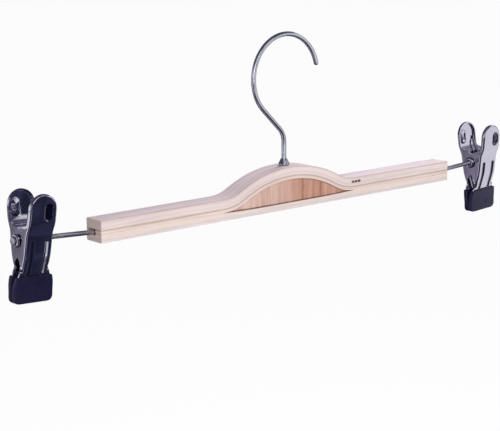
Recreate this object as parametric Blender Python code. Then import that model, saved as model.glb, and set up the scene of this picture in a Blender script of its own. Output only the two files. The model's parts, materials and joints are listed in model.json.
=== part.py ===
# Wooden trouser hanger with two sprung metal clips.
# Metres, +Z up. X runs along the bar, Y through its thickness, and -Y is the front.
# The origin is the centre of the bar's flat underside.

import math

import bmesh
import bpy
from mathutils import Vector

# Clearances
GLUE_GAP = 0.00015
RUN_GAP = 0.0003
COAT_GAP = 0.0002
MOUTH_GAP = 0.0003
CUT_OVERRUN = 0.002

# Bar: three glued plies, the upper two bent over a leaf-shaped insert
BAR_LENGTH = 0.2648
BAR_THICKNESS = 0.0132
BAR_HEIGHT = 0.012
UPPER_PLY = 0.0053
MIDDLE_PLY = 0.0019
EASED_EDGE = 0.0005
HUMP_RISE = 0.0125
HUMP_LENGTH = 0.1
HUMP_TOP_RADIUS = 0.08
DISH_DEPTH = 0.0007
INSERT_RECESS = 0.0004
INSERT_TIP = 0.0002

# Hook
HOOK_WIRE = 0.0028
HOOK_BOWL_RADIUS = 0.0242
HOOK_BOWL_ABOVE_BAR = 0.07455
HOOK_BOWL_ASIDE = 0.0015
HOOK_NECK_RADIUS = 0.011
HOOK_NECK_TURN = math.radians(46)
HOOK_END_ANGLE = math.radians(15)
HOOK_FOOT_WIDTH = 0.0046
HOOK_FOOT_HEIGHT = 0.0014
COLLAR_WIDTH = 0.0064
COLLAR_BRIM = 0.0009
COLLAR_HEIGHT = 0.0034
COLLAR_WALL = 0.0008
COLLAR_DEPTH = 0.0038
WASHER_WIDTH = 0.0082
WASHER_THICKNESS = 0.0008

# Rods: each is folded back on itself in a mortise of the bar, and rises a little outside it
ROD_WIRE = 0.0026
ROD_FREE_LENGTH = 0.0483
ROD_RISE = math.radians(3.2)
ROD_ELBOW_OUT = 0.001
ROD_SEAT_LENGTH = 0.036
ROD_FOLD_LENGTH = 0.02
ROD_FOLD_GAP = 0.0003
ROD_BEHIND_MIDDLE = 0.0003
ROD_GROOVE_DEPTH = 0.0009
ROD_HEAD_WIDTH = 0.0046
ROD_HEAD_LENGTH = 0.0011

# Hinge tube and torsion spring of a clip
TUBE_WALL = 0.0006
TUBE_RIM_WIDTH = 0.0072
TUBE_RIM_LENGTH = 0.0014
SPRING_WIRE = 0.0011
SPRING_TURNS = 6
SPRING_POINTS_A_TURN = 10
SPRING_LEG_HEIGHT = 0.0125
SPRING_FOOT_LENGTH = 0.0018

# Jaws: two stampings of one kind, the rear one turned half round about Z
SHEET = 0.0007
SHEET_BEND = 0.0005
CLIP_WIDTH = 0.0168
EAR_RIM = 0.0027
WEB_CLEARANCE = 0.0017
LOBE_WIDTH = 0.0156
LOBE_TOP = 0.0241
LOBE_FOOT = 0.0085
HANDLE_FOOT = 0.005
WAIST_FOOT = 0.0076
EAR_FOOT = 0.0115
COAT_TOP = 0.0182
GRIP_TOP = 0.0243
COAT_BOTTOM = 0.0322
HANDLE_SPREAD = 0.0012
LOBE_SPREAD = 0.0032
LOBE_LEAN = 0.001
WAIST_DRAW = 0.0006
GRIP_DRAW = 0.0042
TURNED_RIM = 0.001
SOFT_BEND = 0.0012
RIB_FROM_MIDDLE = 0.0042
RIB_WIDTH = 0.0024
RIB_FLAT = 0.0012
RIB_DEPTH = 0.0006
RIB_TOP = 0.0008
RIB_ABOVE_COAT = 0.0009
DIMPLE_WIDTH = 0.006
DIMPLE_HEIGHT = 0.009
DIMPLE_DEPTH = 0.0007
DIMPLE_ASIDE = 0.0026
DIMPLE_UP = 0.0151

# Tips: a soft coat dipped over the lower end of each jaw
TIP_WIDTH = 0.023
TIP_CORNER = 0.0032
COAT_THICKNESS = 0.00085
COAT_EDGE = 0.0008

# Finish of each material: colour, roughness, metallic
FINISHES = {
    "pale_wood": ((0.76, 0.67, 0.62), 0.5, 0.0),
    "insert_wood": ((0.58, 0.33, 0.24), 0.5, 0.0),
    "chrome": ((0.58, 0.56, 0.62), 0.15, 1.0),
    "black_coat": ((0.015, 0.016, 0.03), 0.4, 0.0),
}

# Sizes that follow from the ones above
half_bar = BAR_LENGTH / 2
half_thickness = BAR_THICKNESS / 2
lower_ply = BAR_HEIGHT - UPPER_PLY - MIDDLE_PLY - 2 * GLUE_GAP
half_hump = HUMP_LENGTH / 2
hump_angle = 2 * math.atan(HUMP_RISE / half_hump)
hump_foot_radius = half_hump / math.sin(hump_angle) - HUMP_TOP_RADIUS
hump_peak = BAR_HEIGHT + HUMP_RISE

hook_radius = HOOK_WIRE / 2
hook_bore_radius = hook_radius + RUN_GAP
collar_neck_radius = hook_bore_radius + COLLAR_WALL
washer_top = hump_peak - UPPER_PLY - GLUE_GAP - MIDDLE_PLY - RUN_GAP
washer_bottom = washer_top - WASHER_THICKNESS
hook_foot_top = washer_bottom - RUN_GAP
hook_foot_bottom = hook_foot_top - HOOK_FOOT_HEIGHT

rod_radius = ROD_WIRE / 2
rod_fold_step = ROD_WIRE + ROD_FOLD_GAP
rod_fold_radius = rod_fold_step / 2
groove_floor = lower_ply - ROD_GROOVE_DEPTH
rod_height = groove_floor + RUN_GAP + rod_radius
rod_elbow = half_bar + ROD_ELBOW_OUT
rod_head_seat = ROD_FREE_LENGTH - ROD_ELBOW_OUT

tube_bore_radius = rod_radius + RUN_GAP
tube_radius = tube_bore_radius + TUBE_WALL
ear_hole_radius = tube_radius + RUN_GAP
ear_radius = ear_hole_radius + EAR_RIM
half_clip = CLIP_WIDTH / 2
inner_ear_face = half_clip - SHEET - RUN_GAP
tube_rim_seat = half_clip + RUN_GAP
half_tube = tube_rim_seat + TUBE_RIM_LENGTH
clip_along = rod_head_seat - RUN_GAP - half_tube
clip_middle = rod_elbow + clip_along * math.cos(ROD_RISE)
clip_height = rod_height + clip_along * math.sin(ROD_RISE)

coil_radius = tube_radius + RUN_GAP + SPRING_WIRE / 2
coil_reach = inner_ear_face - SHEET - RUN_GAP - SPRING_WIRE / 2

web_inside = ear_radius + WEB_CLEARANCE
coat_skin = COAT_THICKNESS + COAT_GAP
mouth_inside = MOUTH_GAP / 2 + coat_skin
sheet_bottom = coat_skin - COAT_BOTTOM
tip_half_width = TIP_WIDTH / 2 - coat_skin
sheet_corner = TIP_CORNER - COAT_THICKNESS
lobe_radius = LOBE_WIDTH / 2
lobe_centre = LOBE_TOP - lobe_radius
bend_strip = SHEET_BEND * math.pi / 2
rib_slope = (RIB_WIDTH - RIB_FLAT) / 2
rib_bottom = RIB_ABOVE_COAT - COAT_TOP


def clear_scene():
    """Remove the objects that a new file starts with."""
    for thing in list(bpy.data.objects):
        bpy.data.objects.remove(thing, do_unlink=True)


def add_object(name, data, finish, parent=None, turn=0):
    """Link one named object that has its own Principled material."""
    colour, roughness, metallic = FINISHES[finish]
    look = bpy.data.materials.new(f"{name}_{finish}")
    look.use_nodes = True
    shader = look.node_tree.nodes["Principled BSDF"]
    shader.inputs["Base Color"].default_value = (*colour, 1.0)
    shader.inputs["Roughness"].default_value = roughness
    shader.inputs["Metallic"].default_value = metallic
    data.materials.append(look)
    thing = bpy.data.objects.new(name, data)
    bpy.context.scene.collection.objects.link(thing)
    thing.rotation_euler = (0, 0, turn)
    thing.parent = parent
    return thing


def add_pivot(name, place, tilt):
    """An empty on a joint's axis, tilted about Y, for the pieces that turn about the axis."""
    pivot = bpy.data.objects.new(name, None)
    bpy.context.scene.collection.objects.link(pivot)
    pivot.location = place
    pivot.rotation_euler = (0, tilt, 0)
    return pivot


def add_cutter(name, mesh, parent=None, turn=0):
    """A shape that only cuts other pieces."""
    cutter = bpy.data.objects.new(name, mesh)
    bpy.context.scene.collection.objects.link(cutter)
    cutter.rotation_euler = (0, 0, turn)
    cutter.parent = parent
    cutter.hide_render = True
    cutter.display_type = "WIRE"
    return cutter


def add_cut(thing, cutter):
    """Subtract a cutter from a piece."""
    cut = thing.modifiers.new(f"cut_{cutter.name}", "BOOLEAN")
    cut.operation = "DIFFERENCE"
    cut.solver = "EXACT"
    cut.object = cutter


def shaded_mesh(name, bm, sharp_angle):
    """Turn a bmesh into a smooth-shaded mesh whose real edges stay sharp."""
    bmesh.ops.recalc_face_normals(bm, faces=bm.faces)
    mesh = bpy.data.meshes.new(name)
    bm.to_mesh(mesh)
    bm.free()
    mesh.shade_smooth()
    mesh.set_sharp_from_angle(angle=math.radians(sharp_angle))
    return mesh


def ring_mesh(name, rings, capped=True, sharp_angle=40):
    """Skin rings of equally many points, capped at both ends or closed into a loop."""
    bm = bmesh.new()
    loops = [[bm.verts.new(point) for point in ring] for ring in rings]
    count = len(rings[0])
    partners = loops[1:] if capped else loops[1:] + loops[:1]
    for low, high in zip(loops, partners):
        for i in range(count):
            j = (i + 1) % count
            bm.faces.new((low[i], low[j], high[j], high[i]))
    if capped:
        bm.faces.new(list(reversed(loops[0])))
        bm.faces.new(loops[-1])
    return shaded_mesh(name, bm, sharp_angle)


def turned_mesh(name, profile, axis, steps):
    """Turn a closed profile of (along, radius) points about the X or the Z axis."""
    rings = []
    for step in range(steps):
        angle = math.tau * step / steps
        across, up = math.cos(angle), math.sin(angle)
        if axis == "Z":
            rings.append([(r * across, r * up, along) for along, r in profile])
        else:
            rings.append([(along, r * across, r * up) for along, r in profile])
    return ring_mesh(name, rings, capped=False)


def rod_mesh(name, wide, tall, low, high, axis, steps):
    """A round or oval bar between two places along X, Y or Z."""
    rings = []
    for along in (low, high):
        ring = []
        for step in range(steps):
            angle = math.tau * step / steps
            across, up = wide * math.cos(angle), tall * math.sin(angle)
            place = {"X": (along, across, up), "Y": (across, along, up), "Z": (across, up, along)}
            ring.append(place[axis])
        rings.append(ring)
    return ring_mesh(name, rings)


def arc_points(centre, radius, start, end, steps):
    """Points along an arc in a plane, both ends included."""
    turn = [start + (end - start) * i / steps for i in range(steps + 1)]
    return [(centre[0] + radius * math.cos(a), centre[1] + radius * math.sin(a)) for a in turn]


def wire_curve(name, points, radius, smoothness):
    """A round wire through (place, share of the radius) pairs, closed at both ends."""
    curve = bpy.data.curves.new(name, "CURVE")
    curve.dimensions = "3D"
    curve.bevel_depth = radius
    curve.bevel_resolution = smoothness
    curve.use_fill_caps = True
    spline = curve.splines.new("POLY")
    spline.points.add(len(points) - 1)
    for knot, (place, share) in zip(spline.points, points):
        knot.co = (*place, 1)
        knot.radius = share
    spline.use_smooth = True
    return curve


def smooth_share(value, low, high):
    """Eased share, from 0 at low to 1 at high."""
    share = min(max((value - low) / (high - low), 0), 1)
    return share * share * (3 - 2 * share)


def corner_inset(rise, radius):
    """How far a rounded corner draws in, at a rise above its end."""
    if rise >= radius:
        return 0
    return radius - math.sqrt(radius ** 2 - (radius - rise) ** 2)


# Bar

def hump_line(depth, crown_steps=16, foot_steps=7):
    """A line along the whole bar, a set depth below its top surface."""
    height = BAR_HEIGHT - depth
    foot = arc_points((half_hump, BAR_HEIGHT + hump_foot_radius), hump_foot_radius + depth,
                      -math.pi / 2, -math.pi / 2 - hump_angle, foot_steps)
    crown = arc_points((0, hump_peak - HUMP_TOP_RADIUS), HUMP_TOP_RADIUS - depth,
                       math.pi / 2 + hump_angle, math.pi / 2 - hump_angle, crown_steps)
    left = [(-x, z) for x, z in foot]
    return [(-half_bar, height)] + left + crown[1:-1] + foot[::-1] + [(half_bar, height)]


def dished_height(x):
    """Top of the lower ply, which is hollowed a little under the insert."""
    share = min(abs(x) / half_hump, 1)
    return lower_ply - DISH_DEPTH * (1 - share ** 4)


def lath_mesh(name, top_line, bottom_line, half_depth, eased):
    """A strip of wood between two lines, with the outer edges named in eased taken off."""
    bm = bmesh.new()
    marks = {}
    rows = []
    last = len(top_line) - 1
    for i, (top, bottom) in enumerate(zip(top_line, bottom_line)):
        row = []
        for (x, z), level in ((bottom, "bottom"), (top, "top")):
            for y, side in ((-half_depth, "front"), (half_depth, "back")):
                vert = bm.verts.new((x, y, z))
                marks[vert] = {level, side, "end"} if i in (0, last) else {level, side}
                row.append(vert)
        rows.append(row)
    for a, b in zip(rows, rows[1:]):
        for i, j in ((0, 1), (1, 3), (3, 2), (2, 0)):
            bm.faces.new((a[i], a[j], b[j], b[i]))
    for end in (rows[0], rows[-1]):
        bm.faces.new((end[0], end[1], end[3], end[2]))
    edges = [e for e in bm.edges if len(marks[e.verts[0]] & marks[e.verts[1]] & eased) > 1]
    if edges:
        bmesh.ops.bevel(bm, geom=edges, offset=EASED_EDGE, segments=2, profile=0.5, affect="EDGES")
    return shaded_mesh(name, bm, 50)


def build_bar():
    """The three plies and the insert, with the cuts that take the hook and the rods."""
    corners = {"front", "back", "end"}
    upper = add_object("upper_ply", lath_mesh(
        "upper_ply", hump_line(0), hump_line(UPPER_PLY),
        half_thickness, corners | {"top"}), "pale_wood")
    middle_top = UPPER_PLY + GLUE_GAP
    middle = add_object("middle_ply", lath_mesh(
        "middle_ply", hump_line(middle_top), hump_line(middle_top + MIDDLE_PLY),
        half_thickness, corners), "pale_wood")
    insert_top = hump_line(middle_top + MIDDLE_PLY + GLUE_GAP)
    lower = add_object("lower_ply", lath_mesh(
        "lower_ply", [(x, dished_height(x)) for x, z in insert_top], [(x, 0) for x, z in insert_top],
        half_thickness, corners | {"bottom"}), "pale_wood")

    leaf_top = [(x, z) for x, z in insert_top if z - dished_height(x) - GLUE_GAP > INSERT_TIP]
    leaf_bottom = [(x, dished_height(x) + GLUE_GAP) for x, z in leaf_top]
    insert = add_object("hump_insert", lath_mesh(
        "hump_insert", leaf_top, leaf_bottom, half_thickness - INSERT_RECESS, set()), "insert_wood")

    above = hump_peak + CUT_OVERRUN
    hook_bore = add_cutter("hook_bore", rod_mesh(
        "hook_bore", hook_bore_radius, hook_bore_radius, washer_bottom, above, "Z", 24))
    neck_bore_radius = collar_neck_radius + RUN_GAP
    neck_bore = add_cutter("collar_bore", rod_mesh(
        "collar_bore", neck_bore_radius, neck_bore_radius,
        hump_peak - COLLAR_DEPTH - RUN_GAP, above, "Z", 24))
    pocket_radius = WASHER_WIDTH / 2 + RUN_GAP
    pocket = add_cutter("foot_pocket", rod_mesh(
        "foot_pocket", pocket_radius, pocket_radius, hook_foot_bottom - RUN_GAP, hump_peak, "Z", 24))
    add_cut(upper, hook_bore)
    add_cut(upper, neck_bore)
    add_cut(middle, hook_bore)
    add_cut(insert, pocket)

    groove_front = ROD_BEHIND_MIDDLE - rod_radius - RUN_GAP
    groove_back = ROD_BEHIND_MIDDLE + rod_fold_step + rod_radius + RUN_GAP
    groove_top = BAR_HEIGHT - UPPER_PLY
    groove_end = half_bar - ROD_SEAT_LENGTH - rod_fold_radius - rod_radius - RUN_GAP
    for side, sign in (("left", -1), ("right", 1)):
        rings = []
        for x in (groove_end, half_bar + CUT_OVERRUN):
            rings.append([(sign * x, groove_front, groove_floor), (sign * x, groove_back, groove_floor),
                          (sign * x, groove_back, groove_top), (sign * x, groove_front, groove_top)])
        groove = add_cutter(f"{side}_rod_groove", ring_mesh(f"{side}_rod_groove", rings))
        add_cut(middle, groove)
        add_cut(lower, groove)


# Hook

def build_hook():
    """The swivel hook with its peened foot, the collar on the hump and the washer under it."""
    # The neck bends aside until its straight run meets the bowl as a tangent
    both_radii = HOOK_NECK_RADIUS + HOOK_BOWL_RADIUS
    turn_cos, turn_sin = math.cos(HOOK_NECK_TURN), math.sin(HOOK_NECK_TURN)
    straight = (both_radii * turn_cos - HOOK_NECK_RADIUS - HOOK_BOWL_ASIDE) / turn_sin
    neck_height = HOOK_BOWL_ABOVE_BAR - both_radii * turn_sin - straight * turn_cos
    neck = arc_points((-HOOK_NECK_RADIUS, neck_height), HOOK_NECK_RADIUS, 0, HOOK_NECK_TURN, 6)
    bowl = arc_points((HOOK_BOWL_ASIDE, HOOK_BOWL_ABOVE_BAR), HOOK_BOWL_RADIUS,
                      math.pi + HOOK_NECK_TURN, HOOK_END_ANGLE, 30)
    foot_share = HOOK_FOOT_WIDTH / HOOK_WIRE
    points = [((0, 0, hook_foot_bottom), foot_share * 0.6),
              ((0, 0, hook_foot_bottom + HOOK_FOOT_HEIGHT / 3), foot_share),
              ((0, 0, hook_foot_top - HOOK_FOOT_HEIGHT / 9), foot_share),
              ((0, 0, hook_foot_top), 1)]
    points += [((x, 0, z), 1) for x, z in neck + bowl]
    end_x, end_z = bowl[-1]
    for ahead_share, width_share in ((0.6, 0.8), (0.93, 0.37)):
        ahead = ahead_share * hook_radius
        points.append(((end_x + ahead * math.sin(HOOK_END_ANGLE), 0,
                        end_z - ahead * math.cos(HOOK_END_ANGLE)), width_share))
    add_object("hook_wire", wire_curve("hook_wire", points, hook_radius, 4), "chrome")

    brim = COLLAR_WIDTH / 2
    seat = hump_peak + RUN_GAP
    bottom = hump_peak - COLLAR_DEPTH
    bore = hook_bore_radius
    neck_radius = collar_neck_radius
    top = seat + COLLAR_HEIGHT
    collar = [(bottom, bore), (bottom, neck_radius), (seat, neck_radius), (seat, brim - COLLAR_BRIM / 3),
              (seat + COLLAR_BRIM / 2, brim), (seat + COLLAR_BRIM, brim),
              ((seat + top) / 2, (brim + neck_radius) / 2), (top - COLLAR_WALL / 3, neck_radius),
              (top, neck_radius - COLLAR_WALL / 3), (top, bore)]
    add_object("hook_collar", turned_mesh("hook_collar", collar, "Z", 24), "chrome")
    washer = [(washer_bottom, bore), (washer_bottom, WASHER_WIDTH / 2),
              (washer_top, WASHER_WIDTH / 2), (washer_top, bore)]
    add_object("hook_washer", turned_mesh("hook_washer", washer, "Z", 24), "chrome")


# Rods

def build_rod(side, sign):
    """A rod that is folded back inside its mortise and peened over at its outer end."""
    head_share = ROD_HEAD_WIDTH / ROD_WIRE
    inner = half_bar - ROD_SEAT_LENGTH
    fold = arc_points((inner, ROD_BEHIND_MIDDLE + rod_fold_radius), rod_fold_radius,
                      math.pi / 2, math.pi * 3 / 2, 8)
    places = [(inner + ROD_FOLD_LENGTH, ROD_BEHIND_MIDDLE + rod_fold_step)] + fold
    points = [((sign * x, y, rod_height), 1) for x, y in places]
    points.append(((sign * (half_bar + ROD_ELBOW_OUT / 2), ROD_BEHIND_MIDDLE, rod_height), 1))
    head_end = rod_head_seat + ROD_HEAD_LENGTH
    for along, share in ((ROD_ELBOW_OUT / 2, 1), (rod_head_seat, 1),
                         (rod_head_seat + ROD_HEAD_LENGTH / 9, head_share * 0.94),
                         (rod_head_seat + ROD_HEAD_LENGTH / 3, head_share),
                         (head_end - ROD_HEAD_LENGTH / 4, head_share * 0.85), (head_end, head_share * 0.5)):
        points.append(((sign * (rod_elbow + along * math.cos(ROD_RISE)), ROD_BEHIND_MIDDLE,
                        rod_height + along * math.sin(ROD_RISE)), share))
    add_object(f"{side}_rod", wire_curve(f"{side}_rod", points, rod_radius, 4), "chrome")


# Clips

def bent_offset(height):
    """Distance of a jaw's inner face from the clip's middle plane, with soft bends."""
    knots = ((sheet_bottom, mouth_inside), (-GRIP_TOP, mouth_inside),
             (-COAT_TOP, web_inside - GRIP_DRAW), (-WAIST_FOOT, web_inside - WAIST_DRAW),
             (HANDLE_FOOT, web_inside + HANDLE_SPREAD), (LOBE_FOOT, web_inside + LOBE_SPREAD),
             (LOBE_TOP, web_inside + LOBE_SPREAD + LOBE_LEAN))
    places = (height - SOFT_BEND, height, height, height + SOFT_BEND)
    total = 0
    for place in places:
        for (low, low_offset), (high, high_offset) in zip(knots, knots[1:]):
            if place <= high:
                break
        total += low_offset + (high_offset - low_offset) * (place - low) / (high - low)
    return total / len(places)


def web_half(height, ear_half):
    """Half the width of a jaw below its lobe: it flares out from its ear to its tip."""
    flare = smooth_share(-height, EAR_FOOT, GRIP_TOP)
    return ear_half + (tip_half_width - ear_half) * flare


def ear_lip(height):
    """How far an ear reaches across the hinge axis: a disc, joined to the jaw by two tangents."""
    for foot, sense in ((LOBE_FOOT, -1), (-EAR_FOOT, 1)):
        foot_lip = SHEET_BEND + TURNED_RIM - bent_offset(foot)
        spread = math.hypot(foot_lip, foot)
        touch = math.atan2(foot, foot_lip) + sense * math.acos(ear_radius / spread)
        touch_lip = ear_radius * math.cos(touch)
        touch_height = ear_radius * math.sin(touch)
        if min(foot, touch_height) <= height <= max(foot, touch_height):
            return touch_lip + (foot_lip - touch_lip) * (height - touch_height) / (foot - touch_height)
    return math.sqrt(max(ear_radius ** 2 - height ** 2, 0))


def jaw_edge_row(height, ear_half, side):
    """One row of a turned edge, from the flat web outwards: the bend, then the rim or the ear."""
    fold = math.pi / 2 * max(1 - smooth_share(-height, EAR_FOOT, COAT_TOP - SHEET), 0.001)
    flange = TURNED_RIM
    if -EAR_FOOT <= height <= LOBE_FOOT:
        flange = max(ear_lip(height) + bent_offset(height) - SHEET_BEND, TURNED_RIM)
    bend_radius = bend_strip / fold
    reach = bend_radius * math.sin(fold) + flange * math.cos(fold) + SHEET * math.sin(fold)
    if height < lobe_centre:
        to_lobe = smooth_share(height, HANDLE_FOOT, lobe_centre)
        width = web_half(height, ear_half) + (lobe_radius - ear_half) * to_lobe
        start_x = width - reach - corner_inset(height - sheet_bottom, sheet_corner)
        start_z = height
        aside, up = 1, 0
    else:
        up = (height - lobe_centre) / lobe_radius
        aside = math.sqrt(max(1 - up * up, 0))
        start_x = aside * (lobe_radius - reach)
        start_z = lobe_centre + up * (lobe_radius - reach)
    row = []
    for bend_share, flange_share in ((0, 0), (0.5, 0), (1, 0), (1, 1)):
        bend = fold * bend_share
        outwards = bend_radius * math.sin(bend) + flange_share * flange * math.cos(bend)
        inwards = bend_radius * (1 - math.cos(bend)) + flange_share * flange * math.sin(bend)
        z = start_z + outwards * up
        row.append((side * (start_x + outwards * aside), inwards - bent_offset(start_z), z))
    return row


def jaw_heights():
    """Rows of a jaw, closer together where it bends or changes width."""
    heights = [sheet_bottom + sheet_corner * share for share in (0, 0.12, 0.45, 1)]
    heights += [-GRIP_TOP - SOFT_BEND, -GRIP_TOP + SOFT_BEND, -COAT_TOP - SHEET]
    heights += [rib_bottom, rib_bottom + rib_slope]
    heights += [-EAR_FOOT + (EAR_FOOT - COAT_TOP + SHEET) * share for share in (0.45, 0)]
    heights += [-WAIST_FOOT - SOFT_BEND, -WAIST_FOOT + SOFT_BEND]
    heights += [ear_radius * math.sin(math.radians(angle)) for angle in (-44, -22, 0, 57)]
    heights += [RIB_TOP - rib_slope, RIB_TOP]
    heights += [HANDLE_FOOT - SOFT_BEND, HANDLE_FOOT + SOFT_BEND, LOBE_FOOT, LOBE_FOOT + SOFT_BEND]
    heights += [LOBE_FOOT + (lobe_centre - LOBE_FOOT) * share for share in (0.3, 0.5, 0.75, 1)]
    heights += [lobe_centre + lobe_radius * math.sin(math.radians(angle)) for angle in (18, 36, 54, 72, 90)]
    return sorted(heights)


def dimple_depth(x, z):
    """How far the oval thumb dimple of the lobe is pressed in."""
    off_centre = math.hypot((x - DIMPLE_ASIDE) * 2 / DIMPLE_WIDTH, (z - DIMPLE_UP) * 2 / DIMPLE_HEIGHT)
    return DIMPLE_DEPTH * smooth_share(1 - off_centre, 0, 0.7)


def jaw_mesh(name):
    """Inner face of the front jaw, about its hinge axis. Its Solidify gives it the sheet."""
    bm = bmesh.new()
    rows = []
    half_rib = RIB_WIDTH / 2
    half_flat = RIB_FLAT / 2
    columns = (((RIB_FROM_MIDDLE - half_rib) / 2, 0), (RIB_FROM_MIDDLE - half_rib, 0),
               (RIB_FROM_MIDDLE - half_flat, RIB_DEPTH), (RIB_FROM_MIDDLE + half_flat, RIB_DEPTH),
               (RIB_FROM_MIDDLE + half_rib, 0))
    narrowest = inner_ear_face - SHEET - SHEET_BEND
    for height in jaw_heights():
        left = jaw_edge_row(height, half_clip, -1)
        right = jaw_edge_row(height, inner_ear_face, 1)
        pressed = rib_bottom + rib_slope / 2 < height < RIB_TOP - rib_slope / 2
        y, z = left[0][1:]
        left_squeeze = min(-left[0][0] / narrowest, 1)
        right_squeeze = min(right[0][0] / narrowest, 1)
        web = [(-x * left_squeeze, depth * pressed) for x, depth in reversed(columns)]
        web.append((0, 0))
        web += [(x * right_squeeze, depth * pressed) for x, depth in columns]
        web = [(x, y + depth + dimple_depth(x, z), z) for x, depth in web]
        rows.append([bm.verts.new(point) for point in left[::-1] + web + right])
    for low, high in zip(rows, rows[1:]):
        for i in range(len(low) - 1):
            bm.faces.new((low[i], low[i + 1], high[i + 1], high[i]))
    bmesh.ops.remove_doubles(bm, verts=bm.verts, dist=SHEET / 1000)
    mesh = bpy.data.meshes.new(name)
    bm.to_mesh(mesh)
    bm.free()
    mesh.shade_smooth()
    mesh.set_sharp_from_angle(angle=math.radians(50))
    return mesh


def build_jaw(name, pivot, turn, ear_bore):
    """One jaw: its stamping, with the hinge holes in its ears."""
    jaw = add_object(name, jaw_mesh(name), "chrome", pivot, turn)
    stamping = jaw.modifiers.new("sheet", "SOLIDIFY")
    stamping.thickness = SHEET
    stamping.offset = 1
    stamping.use_even_offset = True
    stamping.use_quality_normals = True
    add_cut(jaw, ear_bore)


def slab_ring(height, left, right, near, far):
    """A rectangle with rounded corners at one height; near and far are its faces along -Y."""
    corner = min(COAT_EDGE, (far - near) / 3)
    ring = []
    centres = ((right - corner, -near - corner), (corner - left, -near - corner),
               (corner - left, corner - far), (right - corner, corner - far))
    for quarter, centre in enumerate(centres):
        start = quarter * math.pi / 2
        ring += [(x, y, height) for x, y in arc_points(centre, corner, start, start + math.pi / 2, 3)]
    return ring


def tip_mesh(name):
    """A dipped tip: a cup with an outside, a rim, and a pocket that clears the sheet."""
    rings = []
    bends = (-GRIP_TOP - SOFT_BEND, -GRIP_TOP + SOFT_BEND)
    rises = [COAT_EDGE * share for share in (0, 0.15, 0.5)]
    rises += [TIP_CORNER * share for share in (0.25, 0.55, 1)]
    outside = [rise - COAT_BOTTOM for rise in rises] + [*bends, -COAT_TOP - COAT_EDGE / 3, -COAT_TOP]
    for height in outside:
        bottom_round = corner_inset(height + COAT_BOTTOM, COAT_EDGE)
        top_round = corner_inset(COAT_EDGE / 2 - COAT_TOP - height + COAT_EDGE / 2, COAT_EDGE) / 3
        rounded = bottom_round + top_round
        sheet_inside = bent_offset(max(height, sheet_bottom))
        near = sheet_inside - coat_skin + rounded / 2
        far = sheet_inside + SHEET + coat_skin - rounded
        skin = coat_skin - corner_inset(height + COAT_BOTTOM, TIP_CORNER) - rounded
        rings.append(slab_ring(height, web_half(height, half_clip) + skin,
                               web_half(height, inner_ear_face) + skin, near, far))
    floor = sheet_bottom - COAT_GAP
    for height in (-COAT_TOP, *reversed(bends), *(floor + sheet_corner * s for s in (1, 0.5, 0.15, 0))):
        sheet_inside = bent_offset(max(height, sheet_bottom))
        skin = COAT_GAP - corner_inset(height - floor, sheet_corner)
        rings.append(slab_ring(height, web_half(height, half_clip) + skin,
                               web_half(height, inner_ear_face) + skin,
                               sheet_inside - COAT_GAP, sheet_inside + SHEET + COAT_GAP))
    return ring_mesh(name, rings)


def tube_mesh(name):
    """The hinge tube, with a rolled rim outside the ears at each end."""
    rim = TUBE_RIM_WIDTH / 2
    lip = TUBE_RIM_LENGTH / 4
    half = [(tube_rim_seat, tube_radius), (tube_rim_seat, rim - lip), (tube_rim_seat + lip, rim),
            (half_tube - lip, rim - lip), (half_tube, tube_radius),
            (half_tube, tube_bore_radius + TUBE_WALL / 3), (half_tube - TUBE_WALL / 3, tube_bore_radius)]
    return turned_mesh(name, [(-x, r) for x, r in half[::-1]] + half, "X", 24)


def spring_places():
    """The spring's centre line: front leg down, the coil round the tube, rear leg up."""
    def leg_side(height):
        return bent_offset(height) - RUN_GAP - SPRING_WIRE / 2

    foot_height = SPRING_LEG_HEIGHT + SPRING_FOOT_LENGTH
    lean = math.atan2(SPRING_LEG_HEIGHT, leg_side(SPRING_LEG_HEIGHT))
    leave = math.acos(coil_radius / math.hypot(leg_side(SPRING_LEG_HEIGHT), SPRING_LEG_HEIGHT))
    first = math.pi + leave - lean
    last = math.tau * (SPRING_TURNS + 1) - (leave - lean)
    steps = round(SPRING_POINTS_A_TURN * (last - first) / math.tau)
    places = [(-coil_reach, -leg_side(foot_height), foot_height),
              (-coil_reach, -leg_side(SPRING_LEG_HEIGHT), SPRING_LEG_HEIGHT)]
    for step in range(steps + 1):
        angle = first + (last - first) * step / steps
        places.append((coil_reach * (2 * step / steps - 1),
                       coil_radius * math.cos(angle), coil_radius * math.sin(angle)))
    places += [(coil_reach, leg_side(SPRING_LEG_HEIGHT), SPRING_LEG_HEIGHT),
               (coil_reach, leg_side(foot_height), foot_height)]
    return places


def least_spring_gap(places):
    """Least clear space between any two turns, measured on points of the centre line."""
    fine = []
    for start, end in zip(places, places[1:]):
        fine += [Vector(start).lerp(Vector(end), share / 4) for share in range(4)]
    turn_points = 4 * SPRING_POINTS_A_TURN
    least = min((fine[i] - fine[j]).length for i in range(len(fine))
                for j in range(i + turn_points // 2, len(fine)))
    return least - SPRING_WIRE


def build_clip(side, sign):
    """A clip on its rod: hinge tube, spring, two jaws and their tips."""
    pivot = add_pivot(f"{side}_clip_pivot", (sign * clip_middle, ROD_BEHIND_MIDDLE, clip_height),
                      -sign * ROD_RISE)
    ear_bore = add_cutter(f"{side}_ear_bore", rod_mesh(
        f"{side}_ear_bore", ear_hole_radius, ear_hole_radius,
        -half_clip - CUT_OVERRUN, half_clip + CUT_OVERRUN, "X", 24), pivot)
    add_object(f"{side}_hinge_tube", tube_mesh(f"{side}_hinge_tube"), "chrome", pivot)
    places = spring_places()
    add_object(f"{side}_spring", wire_curve(
        f"{side}_spring", [(place, 1) for place in places], SPRING_WIRE / 2, 1), "chrome", pivot)
    print(f"{side} spring: least gap between turns {least_spring_gap(places) * 1000:.2f} mm")
    for face, turn in (("front", 0), ("rear", math.pi)):
        build_jaw(f"{side}_{face}_jaw", pivot, turn, ear_bore)
        tip = f"{side}_{face}_tip"
        add_object(tip, tip_mesh(tip), "black_coat", pivot, turn)


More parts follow.
